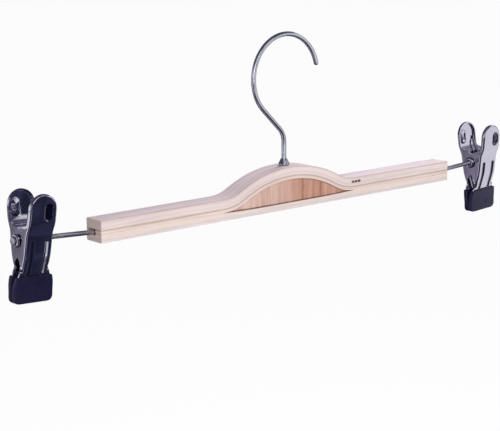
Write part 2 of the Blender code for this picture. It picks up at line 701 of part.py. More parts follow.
clear_scene()
build_bar()
build_hook()
for side_name, direction in (("left", -1), ("right", 1)):
    build_rod(side_name, direction)
    build_clip(side_name, direction)
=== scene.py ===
# %% [markdown]
# # A wooden trouser hanger
# A straight laminated bar with a raised centre, a swivelling wire hook on top and a sprung metal
# clip on a rod at either end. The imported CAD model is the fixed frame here. Each cell below makes
# one piece or one finish around it, finer than the solids, and says how and why.

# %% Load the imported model
import json
import math

import bmesh
import bpy
from mathutils import Matrix, Vector


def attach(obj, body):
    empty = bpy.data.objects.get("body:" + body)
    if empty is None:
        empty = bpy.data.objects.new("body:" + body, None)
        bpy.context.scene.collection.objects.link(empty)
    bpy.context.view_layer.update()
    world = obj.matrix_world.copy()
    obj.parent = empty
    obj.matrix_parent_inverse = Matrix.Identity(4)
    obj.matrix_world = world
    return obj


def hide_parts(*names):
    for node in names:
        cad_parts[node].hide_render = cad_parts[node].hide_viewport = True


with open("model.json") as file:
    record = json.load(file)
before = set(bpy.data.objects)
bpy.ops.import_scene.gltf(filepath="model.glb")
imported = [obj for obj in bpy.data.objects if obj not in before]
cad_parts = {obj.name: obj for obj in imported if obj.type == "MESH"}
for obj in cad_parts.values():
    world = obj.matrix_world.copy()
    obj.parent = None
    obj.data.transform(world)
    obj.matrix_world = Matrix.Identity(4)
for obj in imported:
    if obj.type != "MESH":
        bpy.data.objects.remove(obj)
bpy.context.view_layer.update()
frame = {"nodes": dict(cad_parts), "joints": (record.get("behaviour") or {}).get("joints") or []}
scene = bpy.context.scene
joints = {joint["name"]: joint for joint in frame["joints"]}
MM = 0.001

# %% [markdown]
# ## The camera
# The photograph looks down at the bar from its front left with a fairly long lens. A look-at helper
# would guess the roll, so the camera's three axes are built from yaw, pitch and roll instead.

# %% Set up the camera
CAMERA_PLACE = Vector((-567.31, -621.43, 172.01)) * MM
CAMERA_YAW = math.radians(41.07)
CAMERA_PITCH = math.radians(11.87)
CAMERA_ROLL = math.radians(-0.28)
CAMERA_LENS = 108
SENSOR_WIDTH = 36


def link_new(name, data):
    """An object of a mesh, curve, lamp or camera, linked to the scene."""
    thing = bpy.data.objects.new(name, data)
    scene.collection.objects.link(thing)
    return thing


level = Vector((math.sin(CAMERA_YAW), math.cos(CAMERA_YAW), 0)) * math.cos(CAMERA_PITCH)
ahead = level - Vector((0, 0, math.sin(CAMERA_PITCH)))
flat_right = Vector((math.cos(CAMERA_YAW), -math.sin(CAMERA_YAW), 0))
flat_up = flat_right.cross(ahead)
right = flat_right * math.cos(CAMERA_ROLL) + flat_up * math.sin(CAMERA_ROLL)
up = flat_up * math.cos(CAMERA_ROLL) - flat_right * math.sin(CAMERA_ROLL)

lens = bpy.data.cameras.new("photo_camera")
lens.lens = CAMERA_LENS
lens.sensor_width = SENSOR_WIDTH
lens.sensor_fit = "HORIZONTAL"
camera = link_new("photo_camera", lens)
turned_camera = Matrix((right, up, -ahead)).transposed().to_4x4()
camera.matrix_world = Matrix.Translation(CAMERA_PLACE) @ turned_camera
scene.camera = camera
scene.view_settings.view_transform = "Standard"
print("camera looks along", [round(part, 3) for part in ahead])

# %% [markdown]
# ## Helpers for colour and nodes
# Colours are written as sRGB hex, the way they look on a screen, and one function turns them to the
# linear values that a shader works with. One small function adds a node, its settings and its links.

# %% Colour and node helpers
EASED = {"interpolation_type": "SMOOTHSTEP"}


def linear(hex_colour):
    """An sRGB hex colour as linear RGBA."""
    channels = [int(hex_colour[i:i + 2], 16) / 255 for i in (1, 3, 5)]
    return (*(c / 12.92 if c <= 0.04045 else ((c + 0.055) / 1.055) ** 2.4 for c in channels), 1.0)


def feed(tree, node, inputs):
    """Inputs by name, or a list in order: numbers, hex colours, outputs, or nodes for their first output."""
    for socket, source in inputs.items() if isinstance(inputs, dict) else enumerate(inputs):
        if isinstance(source, bpy.types.Node):
            source = next(output for output in source.outputs if output.enabled)
        if isinstance(source, bpy.types.NodeSocket):
            tree.links.new(source, node.inputs[socket])
        else:
            node.inputs[socket].default_value = linear(source) if isinstance(source, str) else source


def add_node(tree, kind, inputs=(), **settings):
    """One node with its settings and links."""
    node = tree.nodes.new(f"ShaderNode{kind}")
    for name, value in settings.items():
        setattr(node, name, value)
    feed(tree, node, inputs)
    return node


def new_finish(name, inputs=()):
    """A material with one Principled shader, whose constants are set on its own sockets."""
    finish = bpy.data.materials.new(name)
    finish.use_nodes = True
    tree = finish.node_tree
    shader = tree.nodes["Principled BSDF"]
    feed(tree, shader, inputs)
    return finish, tree, shader


print("mid grey #808080 is", round(linear("#808080")[0], 3), "in linear light")

# %% [markdown]
# ## Floor and world
# The object hangs, so the floor lies well below it and only takes a faint shadow. The world is white
# to the camera and to reflections, and dimmer as a light, so that a colour renders about as written.
# Towards the top it darkens in reflections, as the ceiling of a studio does.

# %% Floor and world
FLOOR_DROP = 0.36
FLOOR_HALF = 9.0
FLOOR_GLOW = 0.95
WORLD_LIGHT = 0.65
CEILING_FROM, CEILING_TO = 0.12, 0.42


def add_seen(tree):
    """The kinds of ray, and 1 for those of the camera, of reflections and through glass."""
    rays = add_node(tree, "LightPath")
    direct = add_node(tree, "Math", [rays.outputs["Is Camera Ray"], rays.outputs["Is Glossy Ray"]],
                      operation="MAXIMUM")
    seen = add_node(tree, "Math", [direct, rays.outputs["Is Transmission Ray"]], operation="MAXIMUM")
    return rays, seen


def rectangle(x_low, x_high, y_low, y_high, z_low, z_high):
    """Corners of a rectangle, flat along the axis whose two limits are the same."""
    if x_low == x_high:
        return [(x_low, y, z) for y, z in ((y_low, z_low), (y_high, z_low),
                                           (y_high, z_high), (y_low, z_high))]
    return [(x_low, y_low, z_low), (x_high, y_low, z_low), (x_high, y_high, z_high), (x_low, y_high, z_high)]


def add_card(name, reach, finish):
    """A rectangle of one finish."""
    mesh = bpy.data.meshes.new(name)
    mesh.from_pydata(rectangle(*reach), [], [(0, 1, 2, 3)])
    mesh.materials.append(finish)
    return link_new(name, mesh)


floor_paint, tree, shader = new_finish("matt_white_floor_paint", {"Base Color": "#f4f4f4", "Roughness": 0.9})
rays, seen = add_seen(tree)
share = add_node(tree, "Math", [seen, FLOOR_GLOW], operation="MULTIPLY")
white = add_node(tree, "Emission", {"Color": "#ffffff", "Strength": 1.0})
both = add_node(tree, "MixShader", [share, shader, white])
feed(tree, tree.nodes["Material Output"], {"Surface": both})
floor_reach = (-FLOOR_HALF, FLOOR_HALF, -FLOOR_HALF, FLOOR_HALF, -FLOOR_DROP, -FLOOR_DROP)
floor = add_card("floor", floor_reach, floor_paint)

world = bpy.data.worlds.new("white_studio")
world.use_nodes = True
tree = world.node_tree
rays, seen = add_seen(tree)
strength = add_node(tree, "MapRange", {"Value": seen, "To Min": WORLD_LIGHT, "To Max": 1.0})
place = add_node(tree, "TexCoord")
height = add_node(tree, "SeparateXYZ", [place.outputs["Generated"]])
ceiling = add_node(tree, "MapRange", [height.outputs[2], CEILING_FROM, CEILING_TO])
sky = "#ffffff"
for ray, colour in (("Glossy", "#57556a"), ("Diffuse", "#dcd5e1")):
    amount = add_node(tree, "Math", [ceiling, rays.outputs[f"Is {ray} Ray"]], operation="MULTIPLY")
    sky = add_node(tree, "Mix", {0: amount, 6: sky, 7: colour}, data_type="RGBA")
feed(tree, tree.nodes["Background"], {"Color": sky, "Strength": strength})
scene.world = world
print("floor", FLOOR_DROP, "m below the bar")

# %% [markdown]
# ## Lamps
# Two square softboxes, as in a plain product shot. The large one in front models the wood and shows
# in the metal. The small one brightens the right end, and is kept out of the reflections.

# %% Lamps
def add_softbox(name, place, target, size, watts, colour, mirrored):
    """A square area lamp that looks at a target; only a mirrored one shows in the metal."""
    lamp = bpy.data.lights.new(name, "AREA")
    lamp.size = size
    lamp.energy = watts
    lamp.color = linear(colour)[:3]
    softbox = link_new(name, lamp)
    softbox.location = place
    softbox.rotation_euler = (Vector(target) - Vector(place)).to_track_quat("-Z", "Y").to_euler()
    softbox.visible_glossy = mirrored


add_softbox("front_softbox", (-0.45, -1.25, 0.25), (0, 0, 0), 0.9, 9.6, "#fffaf6", True)
add_softbox("right_softbox", (0.55, 0.22, 0.5), (0.13, 0, 0), 0.35, 5.6, "#eeeaff", False)
print("softboxes:", len(bpy.data.lights))

# %% [markdown]
# ## Flags for the metal
# Polished metal needs something dark to reflect, or it looks like plaster: a photographer stands
# black and grey flags just outside the picture. These are seen by reflections alone. Where a flag has
# to stand follows from the mirror law: the clip's face turns the camera's line of sight towards the
# front right and slightly down, so a dark flag there makes the left clip dark, while the same face
# of the right clip looks past it at the white studio.

# %% Flags
# Each row holds a name, the limits along X, Y and Z, and the shade.
FOLD_SIZE = 0.035

FLAGS = (("front_navy", (-0.37, 0.235, -0.1, -0.1, -0.35, 0.012), "#34354e"),
         ("left_high", (-0.37, -0.1, -0.1, -0.1, 0.012, 0.07), "#34354e"),
         ("left_low", (-0.1, -0.06, -0.1, -0.1, 0.012, 0.02), "#34354e"),
         ("lens_right", (-0.266, 0.1, -0.5, -0.5, -0.066, 0.3), "#8f8b9c"),
         ("lens_left", (-0.9, -0.9, -0.24, 0.12, -0.13, 0.3), "#8f8b9c"),
         ("top_white", (-0.38, -0.12, -0.265, -0.265, 0.19, 0.42), "#ffffff"),
         ("wing_navy", (-0.37, -0.37, -0.1, -0.03, -0.35, 0.012), "#2a2b42"),
         ("ring_side", (-0.05, -0.05, -0.042, -0.002, -0.03, 0.01), "#ffffff"),
         ("ring_foot", (-0.05, 0.15, -0.33, -0.33, 0.25, 0.45), "#ffffff"),
         ("rib_white", (-0.2, -0.186, -0.099, -0.099, -0.25, 0.01), "#ffffff"),
         ("rod_white", (0.38, 0.75, -0.55, 0.2, 0.33, 0.33), "#ffffff"),
         ("under_grey", (-0.6, 0.36, -0.6, 0.5, -0.35, -0.35), "#4a4858"),
         ("under_right", (0.36, 0.75, -0.12, 0.5, -0.35, -0.35), "#4a4858"),
         ("back_grey", (-0.62, -0.05, 0.34, 0.34, -0.35, -0.03), "#8a8693"),
         ("back_left", (-0.25, -0.05, 0.3, 0.3, -0.03, 0.25), "#55536a"),
         ("back_dusk", (-0.05, 0.36, 0.3, 0.3, -0.06, 0.25), "#55536a"),
         ("back_low", (-0.05, 0.36, 0.3, 0.3, -0.3, -0.06), "#b4b1c2"),
         ("right_navy", (0.62, 0.62, -0.1, 0.45, -0.3, 0.2), "#2c3047"))
for name, reach, colour in FLAGS:
    cloth, tree, shader = new_finish(f"{name}_flag_cloth", {"Roughness": 1.0})
    place = add_node(tree, "TexCoord").outputs["Object"]
    folds = add_node(tree, "TexNoise", {"Vector": place, "Scale": 1 / FOLD_SIZE, "Detail": 2.0})
    shade = add_node(tree, "MapRange", [folds, 0.35, 0.7, 0.6, 1.5])
    glow = add_node(tree, "Emission", {"Color": colour, "Strength": shade})
    feed(tree, tree.nodes["Material Output"], {"Surface": glow})
    flag = add_card(f"{name}_flag", reach, cloth)
    for ray in ("camera", "diffuse", "shadow", "transmission", "volume_scatter"):
        setattr(flag, f"visible_{ray}", False)
print("flags:", len(FLAGS))

# %% [markdown]
# ## A straightened block of wood
# The plies are pale softwood, planed, sanded and waxed. They are bent, so the pattern must bend with
# them. Each lath carries a UV map called grain, which holds the distance along the lath and the depth
# below the bar's top in metres. With the thickness direction from object coordinates this makes a
# straightened-out block of wood.

# %% Helpers for wood
def add_grain_block(tree):
    """The straightened block of wood in millimetres: along, through and down."""
    along_depth = add_node(tree, "SeparateXYZ", [add_node(tree, "UVMap", uv_map="grain")])
    place = add_node(tree, "TexCoord")
    through = add_node(tree, "SeparateXYZ", [place.outputs["Object"]])
    block = add_node(tree, "CombineXYZ", [along_depth, through.outputs[1], along_depth.outputs[1]])
    return add_node(tree, "VectorMath", {0: block, "Scale": 1 / MM}, operation="SCALE")


def stretched_noise(tree, block, along, across, seed, detail=4.0):
    """Noise whose grains are so many millimetres long and wide."""
    place = add_node(tree, "Mapping", {0: block, 1: (seed * 7.3, seed * 3.1, seed),
                                       3: (1 / along, 1 / across, 1 / across)})
    return add_node(tree, "TexNoise", {"Vector": place, "Scale": 1.0, "Detail": detail, "Roughness": 0.6})


def stained(tree, body, stain, *ramps):
    """A stain over the body colour; its strength is the product of eased ramps (value, from, to, at, at)."""
    amount = 1.0
    for ramp in ramps:
        share = add_node(tree, "MapRange", ramp, **EASED)
        amount = add_node(tree, "Math", [amount, share], operation="MULTIPLY")
    return add_node(tree, "Mix", {0: amount, 6: body, 7: stain}, data_type="RGBA")


print("stains are laid on with", EASED["interpolation_type"].lower(), "edges")

# %% [markdown]
# ## Pine
# What the eye gets: faint annual rings that run along the lath, finer fibres inside them, a slow
# drift between cream and pink, and darker ring ends on the cut ends. In the straightened block the
# rings are simply circles round a heart line that lies outside the bar. A real pine fibre is a few
# hundredths of a millimetre wide, so the fibres are drawn coarser, as they need to show.

# %% Rings, joints and knot
RING_SPACING_MM = 1.9
FIBRE_WIDTH_MM = 0.45
RING_WANDER_MM = 2.4
# The second is the width of the painted shade along the upper front edge.
BAR_FACE_MM, ARRIS_SHADE_MM = 6.6, 0.9
KNOT_ALONG_MM, KNOT_DEPTH_MM = 52.6, 2.5
KNOT_BLOBS = ((-1.2, 0.95), (1.5, 1.0))


def add_rings(tree, block, heart, seed):
    """Late wood of the rings round a heart line at (through, depth): 1 in a dark line."""
    wander = stretched_noise(tree, block, 70, 9, seed + 2, 1.0)
    spot = add_node(tree, "VectorMath", [block, (0, 1, 1), (0, -heart[0], -heart[1])],
                    operation="MULTIPLY_ADD")
    radius = add_node(tree, "VectorMath", [spot], operation="LENGTH")
    bent = add_node(tree, "Math", [wander, RING_WANDER_MM, radius], operation="MULTIPLY_ADD")
    turn = add_node(tree, "Math", [bent, 1 / RING_SPACING_MM], operation="MULTIPLY")
    saw = add_node(tree, "Math", [turn], operation="FRACT")
    late_wood = add_node(tree, "MapRange", [saw, 0.45, 0.97], **EASED)
    early_edge = add_node(tree, "MapRange", [saw, 0.97, 1.0, 1.0, 0.0], **EASED)
    return add_node(tree, "Math", [late_wood, early_edge], operation="MULTIPLY")


def add_joint(tree, body, block, parts, depth, half_width, seed):
    """Glue that crept into the wood beside a joint, in patches."""
    off_joint = add_node(tree, "Math", [parts.outputs[2], depth], operation="SUBTRACT")
    off_joint = add_node(tree, "Math", [off_joint], operation="ABSOLUTE")
    patches = stretched_noise(tree, block, 30, 6, seed + 9)
    return stained(tree, body, "#bca395", (off_joint, 0.05, half_width, 0.7, 0.0),
                   (patches, 0.3, 0.6, 0.55, 1.0))


def add_painted_arris_shade(tree, body, parts):
    """Painted shade: a darker line along the upper front edge, where the top meets the front."""
    return stained(tree, body, "#a8928a", (parts.outputs[1], -BAR_FACE_MM, ARRIS_SHADE_MM - BAR_FACE_MM, 1.0, 0.0),
                   (parts.outputs[2], 0.0, ARRIS_SHADE_MM, 0.6, 0.0))


def add_knot(tree, body, block):
    """A small knot in the front face, as two soft dark blobs."""
    for shift, size in KNOT_BLOBS:
        centre = (KNOT_ALONG_MM + shift, -BAR_FACE_MM, KNOT_DEPTH_MM)
        off = add_node(tree, "VectorMath", [block, centre], operation="SUBTRACT")
        squeezed = add_node(tree, "VectorMath", [off, (0.6, 0.3, 1.05)], operation="MULTIPLY")
        away = add_node(tree, "VectorMath", [squeezed], operation="LENGTH")
        body = stained(tree, body, "#4d362f", (away, size * 0.55, size * 1.1, 0.96, 0.0))
    return body


print("rings every", RING_SPACING_MM, "mm, knot at", KNOT_ALONG_MM, "mm")

# %% [markdown]
# The layers of colour go on in this order: the wood's own drift and rings, then glue, knot, a paler
# band at the top of the lower ply and painted shade along the upper front edge, then painted shade in
# hollows, and last the cut ends.

# %% Pine material
def make_pine(name, cream, pink, ring, heart, seed, joint=None, knot=False, fade=None):
    """Waxed pine: heart is its heart line, joint a (depth, half width) and fade a (from, to, most)."""
    finish, tree, shader = new_finish(name)
    block = add_grain_block(tree)
    parts = add_node(tree, "SeparateXYZ", [block])
    drift = stretched_noise(tree, block, 55, 5.5, seed, 2.0)
    body = stained(tree, cream, pink, (drift, 0.36, 0.66))
    rings = add_rings(tree, block, heart, seed)
    faint = add_node(tree, "Math", [rings, 0.42], operation="MULTIPLY")
    body = add_node(tree, "Mix", {0: faint, 6: body, 7: ring}, data_type="RGBA")
    fibre = stretched_noise(tree, block, 26, FIBRE_WIDTH_MM, seed + 5)
    body = stained(tree, body, ring, (fibre, 0.5, 0.82, 0.0, 0.4))
    if joint:
        body = add_joint(tree, body, block, parts, *joint, seed)
    if knot:
        body = add_knot(tree, body, block)
    if fade:
        body = stained(tree, body, "#efe0d0", (parts.outputs[2], *fade, 0.0))
    # Painted shade: a dark line along the upper front edge.
    if joint:
        body = add_painted_arris_shade(tree, body, parts)
    # Painted shade: the wood is darkened where ambient occlusion finds a hollow, such as the mortises round
    # the rods.
    painted_hollow_shade = add_node(tree, "AmbientOcclusion", {"Distance": 4 * MM}, samples=6)
    body = stained(tree, body, "#4d3b39", (painted_hollow_shade.outputs["AO"], 0.15, 0.62, 0.85, 0.0))
    facing = add_node(tree, "TexCoord")
    facing = add_node(tree, "SeparateXYZ", [facing.outputs["Normal"]])
    endwise = add_node(tree, "Math", [facing], operation="ABSOLUTE")
    body = stained(tree, body, "#a98d7f", (endwise, 0.9, 0.98, 0.0, 0.42))
    rough = add_node(tree, "MapRange", [fibre, 0.3, 0.8, 0.38, 0.56], **EASED)
    relief = add_node(tree, "Math", [rings, fibre], operation="ADD")
    bump = add_node(tree, "Bump", {"Height": relief, "Strength": 0.35, "Distance": 0.05 * MM})
    feed(tree, shader, {"Base Color": body, "Roughness": rough, "Normal": bump})
    return finish


upper_pine = make_pine("waxed_pine_upper", "#e7dcd6", "#dccfca", "#c9b6ae", (14, 21), 1.0,
                       joint=(5.5, 1.1), knot=True)
middle_pine = make_pine("waxed_pine_middle", "#eadccf", "#e3d3c8", "#ccb6a7", (-30, 24), 4.0,
                        joint=(5.3, 1.3))
lower_pine = make_pine("waxed_pine_lower", "#e4dbd5", "#dacfca", "#cabab2", (11, -26), 8.0,
                       fade=(7.4, 10.2, 0.75))
print("pine finishes:", upper_pine.name, middle_pine.name, lower_pine.name)

# %% [markdown]
# ## The redder wood of the insert
# The leaf in the hump is cut across the bar's own grain, so its fibres stand upright. A few narrow
# dark streaks and a paler, pinker left part give it its look. The streaks are placed along the bar.
# Its grain map holds the distances to its upper and lower edge, where a glue line and painted shadow darken
# it.

# %% Insert wood material
STREAKS_MM = ((9.0, 0.8, 0.75), (17.6, 0.8, 0.35), (23.2, 0.95, 0.7), (35.4, 0.7, 0.3), (-8.5, 0.8, 0.2))
STREAK_WANDER_MM = 1.6


def add_streaks(tree, body, along, clouds):
    """Upright dark streaks, each given by its place, half width and strength."""
    bent = add_node(tree, "Math", [clouds, STREAK_WANDER_MM, along], operation="MULTIPLY_ADD")
    for place, half_width, strength in STREAKS_MM:
        off = add_node(tree, "Math", [bent, place + STREAK_WANDER_MM / 2], operation="SUBTRACT")
        off = add_node(tree, "Math", [off], operation="ABSOLUTE")
        body = stained(tree, body, "#8f6450", (off, half_width * 0.2, half_width * 1.7, strength, 0.0))
    return body


def add_glue_and_shadow_lines(tree, body, along, bands):
    """A glue line with painted shadow along the lower edge, in patches, and a painted shadow line along the
    upper edge, towards the right.
    """
    edges = add_node(tree, "UVMap", uv_map="grain")
    edges = add_node(tree, "VectorMath", {0: edges, "Scale": 1 / MM}, operation="SCALE")
    edges = add_node(tree, "SeparateXYZ", [edges])
    upper, lower = edges.outputs[:2]
    # Lower edge: a dark glue line with painted shadow. Upper edge: painted shadow under the middle ply.
    body = stained(tree, body, "#6f4c3f", (lower, 0.3, 0.95, 0.95, 0.0), (bands, 0.25, 0.6, 0.55, 1.0))
    return stained(tree, body, "#8a6350", (upper, 0.1, 0.8, 0.7, 0.0), (along, -25, 25, 0.2, 1.0))


def make_insert_wood(name):
    """Waxed reddish wood with upright grain."""
    finish, tree, shader = new_finish(name)
    place = add_node(tree, "TexCoord")
    block = add_node(tree, "VectorMath", {0: place.outputs["Object"], "Scale": 1 / MM}, operation="SCALE")
    along = add_node(tree, "SeparateXYZ", [block]).outputs[0]
    wave = add_node(tree, "Mapping", {0: block, 3: (1 / 4.5, 1 / 4.5, 1 / 50)})
    bands = add_node(tree, "TexNoise", {"Vector": wave, "Scale": 1.0, "Detail": 2.0})
    fine = add_node(tree, "Mapping", {0: block, 3: (1 / 0.5, 1 / 0.5, 1 / 14)})
    fibre = add_node(tree, "TexNoise", {"Vector": fine, "Scale": 1.0, "Detail": 4.0})
    clouds = add_node(tree, "TexNoise", {"Vector": block, "Scale": 0.2, "Detail": 2.0})
    body = "#d9bfb2"
    for stain, ramp in (("#c1937c", (along, -30.0, 16.0)), ("#b38670", (bands, 0.42, 0.68, 0.0, 0.5)),
                        ("#d6bcaa", (bands, 0.5, 0.3, 0.0, 0.4)), ("#cfa38b", (clouds, 0.5, 0.75, 0.0, 0.4))):
        body = stained(tree, body, stain, ramp)
    body = add_streaks(tree, body, along, clouds)
    body = stained(tree, body, "#ad806c", (fibre, 0.52, 0.8, 0.0, 0.4))
    body = add_glue_and_shadow_lines(tree, body, along, bands)
    rough = add_node(tree, "MapRange", [fibre, 0.3, 0.8, 0.42, 0.6], **EASED)
    bump = add_node(tree, "Bump", {"Height": fibre, "Strength": 0.35, "Distance": 0.04 * MM})
    feed(tree, shader, {"Base Color": body, "Roughness": rough, "Normal": bump})
    return finish


insert_wood = make_insert_wood("waxed_red_wood_insert")
print("streaks at", [streak[0] for streak in STREAKS_MM], "mm from the middle")

# %% [markdown]
# ## Chrome and spring steel
# Bright chrome is a thin hard plate over polished nickel: a neutral mirror whose faint waviness
# bends straight reflections. Where a stamping is pressed in, its colour is darkened as painted shade
# for the dark reflections of ribs and dimple, so the jaws carry a map called pressed. Spring steel is
# the same colour family but drawn, so it is a little rougher. All are metals and keep the default IOR.

# %% Metals
def make_metal(name, colour, rough_low, rough_high, wave_mm, wave_depth_mm):
    """A plated or drawn metal with slow waves in its skin."""
    finish, tree, shader = new_finish(name, {"Base Color": colour, "Metallic": 1.0})
    place = add_node(tree, "TexCoord").outputs["Object"]
    waves = add_node(tree, "TexNoise", {"Vector": place, "Scale": 1 / (wave_mm * MM), "Detail": 2.0})
    smears = add_node(tree, "TexNoise", {"Vector": place, "Scale": 1 / (wave_mm * 0.3 * MM), "Detail": 5.0})
    rough = add_node(tree, "MapRange", [smears, 0.35, 0.75, rough_low, rough_high], **EASED)
    bump = add_node(tree, "Bump", {"Height": waves, "Strength": 0.5, "Distance": wave_depth_mm * MM})
    feed(tree, shader, {"Roughness": rough, "Normal": bump})
    return finish


pressed_chrome = make_metal("bright_chrome_pressed", "#c6c3d2", 0.05, 0.12, 9, 0.012)
tree = pressed_chrome.node_tree
# Painted shade: the colour darkens where the pressed map says so, standing in for the dark reflections in the
# ribs and the dimple.
pressed = add_node(tree, "SeparateXYZ", [add_node(tree, "UVMap", uv_map="pressed")])
painted_recess_shade = add_node(tree, "Mix", {0: pressed, 6: "#c6c3d2", 7: "#585066"}, data_type="RGBA")
feed(tree, tree.nodes["Principled BSDF"], {"Base Color": painted_recess_shade})
turned_chrome = make_metal("bright_chrome_turned", "#bfbfcc", 0.07, 0.15, 6, 0.006)
wire_chrome = make_metal("bright_chrome_wire", "#bdbecb", 0.16, 0.27, 7, 0.006)
satin_chrome = make_metal("satin_chrome_rod", "#b6b5c1", 0.33, 0.46, 5, 0.004)
spring_steel = make_metal("drawn_spring_steel", "#a9a9b4", 0.2, 0.32, 3, 0.004)
metals = (pressed_chrome, turned_chrome, wire_chrome, satin_chrome, spring_steel)
print("metals:", [metal.name for metal in metals])

# %% [markdown]
# ## Dipped coat and glue
# The tips are dipped in soft black vinyl, which dries to a satin skin. Its pebble is finer than a
# pixel and is drawn coarser. The joints of the bar show cured wood glue, brown or nearly clear.

# %% Coat and glue
def make_coat(name):
    """Dipped black vinyl, satin and slightly pebbled."""
    finish, tree, shader = new_finish(name, {"IOR": 1.5, "Specular Tint": "#e0daff"})
    place = add_node(tree, "TexCoord").outputs["Object"]
    pebble = add_node(tree, "TexNoise", {"Vector": place, "Scale": 1 / (0.7 * MM), "Detail": 3.0})
    clouds = add_node(tree, "TexNoise", {"Vector": place, "Scale": 1 / (6 * MM), "Detail": 2.0})
    body = add_node(tree, "Mix", {0: clouds, 6: "#0e0e2b", 7: "#1b1a3b"}, data_type="RGBA")
    rough = add_node(tree, "MapRange", [pebble, 0.3, 0.7, 0.34, 0.5], **EASED)
    bump = add_node(tree, "Bump", {"Height": pebble, "Strength": 0.4, "Distance": 0.03 * MM})
    feed(tree, shader, {"Base Color": body, "Roughness": rough, "Normal": bump})
    return finish


def make_glue(name, pale, deep):
    """Cured wood glue in a joint, slightly blotchy."""
    finish, tree, shader = new_finish(name, {"Roughness": 0.55})
    place = add_node(tree, "TexCoord").outputs["Object"]
    blotch = add_node(tree, "TexNoise", {"Vector": place, "Scale": 1 / (9 * MM), "Detail": 3.0})
    body = add_node(tree, "Mix", {0: blotch, 6: pale, 7: deep}, data_type="RGBA")
    feed(tree, shader, {"Base Color": body})
    return finish


vinyl_dip = make_coat("dipped_black_vinyl")
brown_glue = make_glue("cured_brown_glue", "#c2a999", "#b29888")
clear_glue = make_glue("cured_clear_glue", "#e9dccd", "#e0d0c1")
print("coat and glue:", vinyl_dip.name, brown_glue.name, clear_glue.name)

# %% [markdown]
# ## Helpers for pieces
# Each new piece is linked, dressed and set on the body that it moves with, and the solids that it
# stands for are hidden. One function does all of that.

# %% Piece helpers
def add_piece(name, data, finish, body, stands_for=(), matrix=None):
    """Link a finished piece and tie it to the frame."""
    data.materials.append(finish)
    if matrix is not None:
        data.transform(matrix)
    piece = link_new(name, data)
    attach(piece, body)
    if stands_for:
        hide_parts(*stands_for)


def mesh_of(bm, name):
    """The mesh of a finished bmesh."""
    mesh = bpy.data.meshes.new(name)
    bm.to_mesh(mesh)
    bm.free()
    return mesh


def smoothed(mesh, sharp_degrees):
    """Smooth shading that keeps real edges sharp."""
    mesh.shade_smooth()
    mesh.set_sharp_from_angle(angle=math.radians(sharp_degrees))
    return mesh


def skin_rings(name, rings, capped=True, sharp_degrees=35):
    """Skin rings of equally many points."""
    bm = bmesh.new()
    loops = [[bm.verts.new(point) for point in ring] for ring in rings]
    count = len(rings[0])
    for low, high in zip(loops, loops[1:] if capped else loops[1:] + loops[:1]):
        for i in range(count):
            j = (i + 1) % count
            bm.faces.new((low[i], low[j], high[j], high[i]))
    if capped:
        bm.faces.new(loops[0][::-1])
        bm.faces.new(loops[-1])
    bmesh.ops.recalc_face_normals(bm, faces=bm.faces)
    return smoothed(mesh_of(bm, name), sharp_degrees)


def turned(name, profile, axis, steps):
    """Turn a closed profile of (along, radius) about X or Z, as on a lathe."""
    rings = []
    for angle in (math.tau * step / steps for step in range(steps)):
        spokes = [(along, r * math.cos(angle), r * math.sin(angle)) for along, r in profile]
        rings.append([(y, z, along) if axis == "Z" else (along, y, z) for along, y, z in spokes])
    return skin_rings(name, rings, capped=False)


def arc(centre, radius, start, end, steps):
    """Points along an arc in a plane."""
    turn = [start + (end - start) * i / steps for i in range(steps + 1)]
    return [(centre[0] + radius * math.cos(a), centre[1] + radius * math.sin(a)) for a in turn]


def applied(block, *tools):
    """The mesh of an object after its modifiers; the object and its tools are cleared away."""
    bpy.context.view_layer.update()
    graph = bpy.context.evaluated_depsgraph_get()
    result = bpy.data.meshes.new_from_object(block.evaluated_get(graph))
    for thing in (block, *tools):
        bpy.data.objects.remove(thing, do_unlink=True)
    return result


print("helpers: rings, lathe, arc, modifiers")

# %% [markdown]
# ## Cutters
# A hole or a slot is cut as it would be in the workshop: with a plain bar of the hole's section.
# Blender's exact Boolean solver leaves clean walls, and the cutters are cleared away afterwards.

# %% Cutters
CUTTER_STEPS = 48


def with_cuts(mesh, cutters):
    """The mesh after subtracting each cutter mesh."""
    block = link_new("cut_block", mesh)
    tools = [link_new("cut_tool", cutter) for cutter in cutters]
    for tool in tools:
        cut = block.modifiers.new("cut", "BOOLEAN")
        cut.operation = "DIFFERENCE"
        cut.solver = "EXACT"
        cut.object = tool
    return applied(block, *tools)


def round_bar(radius, low, high, axis):
    """A round cutter along X or Z."""
    circle = arc((0, 0), radius, 0, math.tau, CUTTER_STEPS)[:-1]
    return skin_rings("cutter", [[(*spot, along) if axis == "Z" else (along, *spot) for spot in circle]
                                 for along in (low, high)])


def square_bar(x_low, x_high, *section):
    """A rectangular cutter."""
    return skin_rings("cutter", [rectangle(x, x, *section) for x in (x_low, x_high)])


print("round cutters have", CUTTER_STEPS, "sides")

# %% [markdown]
# ## The bent plies
# Three laths make the bar. The upper two are bent over the hump: a crown arc and two foot arcs that
# meet as tangents. Every layer is the same line at another depth, so one function gives them all,
# and the bend keeps its thickness. The edges are eased with a small bevel, as sandpaper leaves them.

# %% Lines of the lamination
HALF_BAR = 132.4 * MM
HALF_THICK = 6.6 * MM
BAR_HEIGHT = 12 * MM
UPPER_PLY, MIDDLE_PLY, LOWER_PLY = 5.3 * MM, 1.9 * MM, 4.5 * MM
GLUE_GAP = 0.15 * MM
HUMP_RISE, HALF_HUMP, CROWN_RADIUS = 12.5 * MM, 50 * MM, 80 * MM
DISH_DEPTH = 0.7 * MM
EASED_EDGE = 0.55 * MM
CROWN_STEPS, FOOT_STEPS, ARM_STEPS = 56, 26, 6

hump_peak = BAR_HEIGHT + HUMP_RISE
hump_angle = 2 * math.atan(HUMP_RISE / HALF_HUMP)
foot_radius = HALF_HUMP / math.sin(hump_angle) - CROWN_RADIUS
crown_centre = hump_peak - CROWN_RADIUS
foot_centre = BAR_HEIGHT + foot_radius


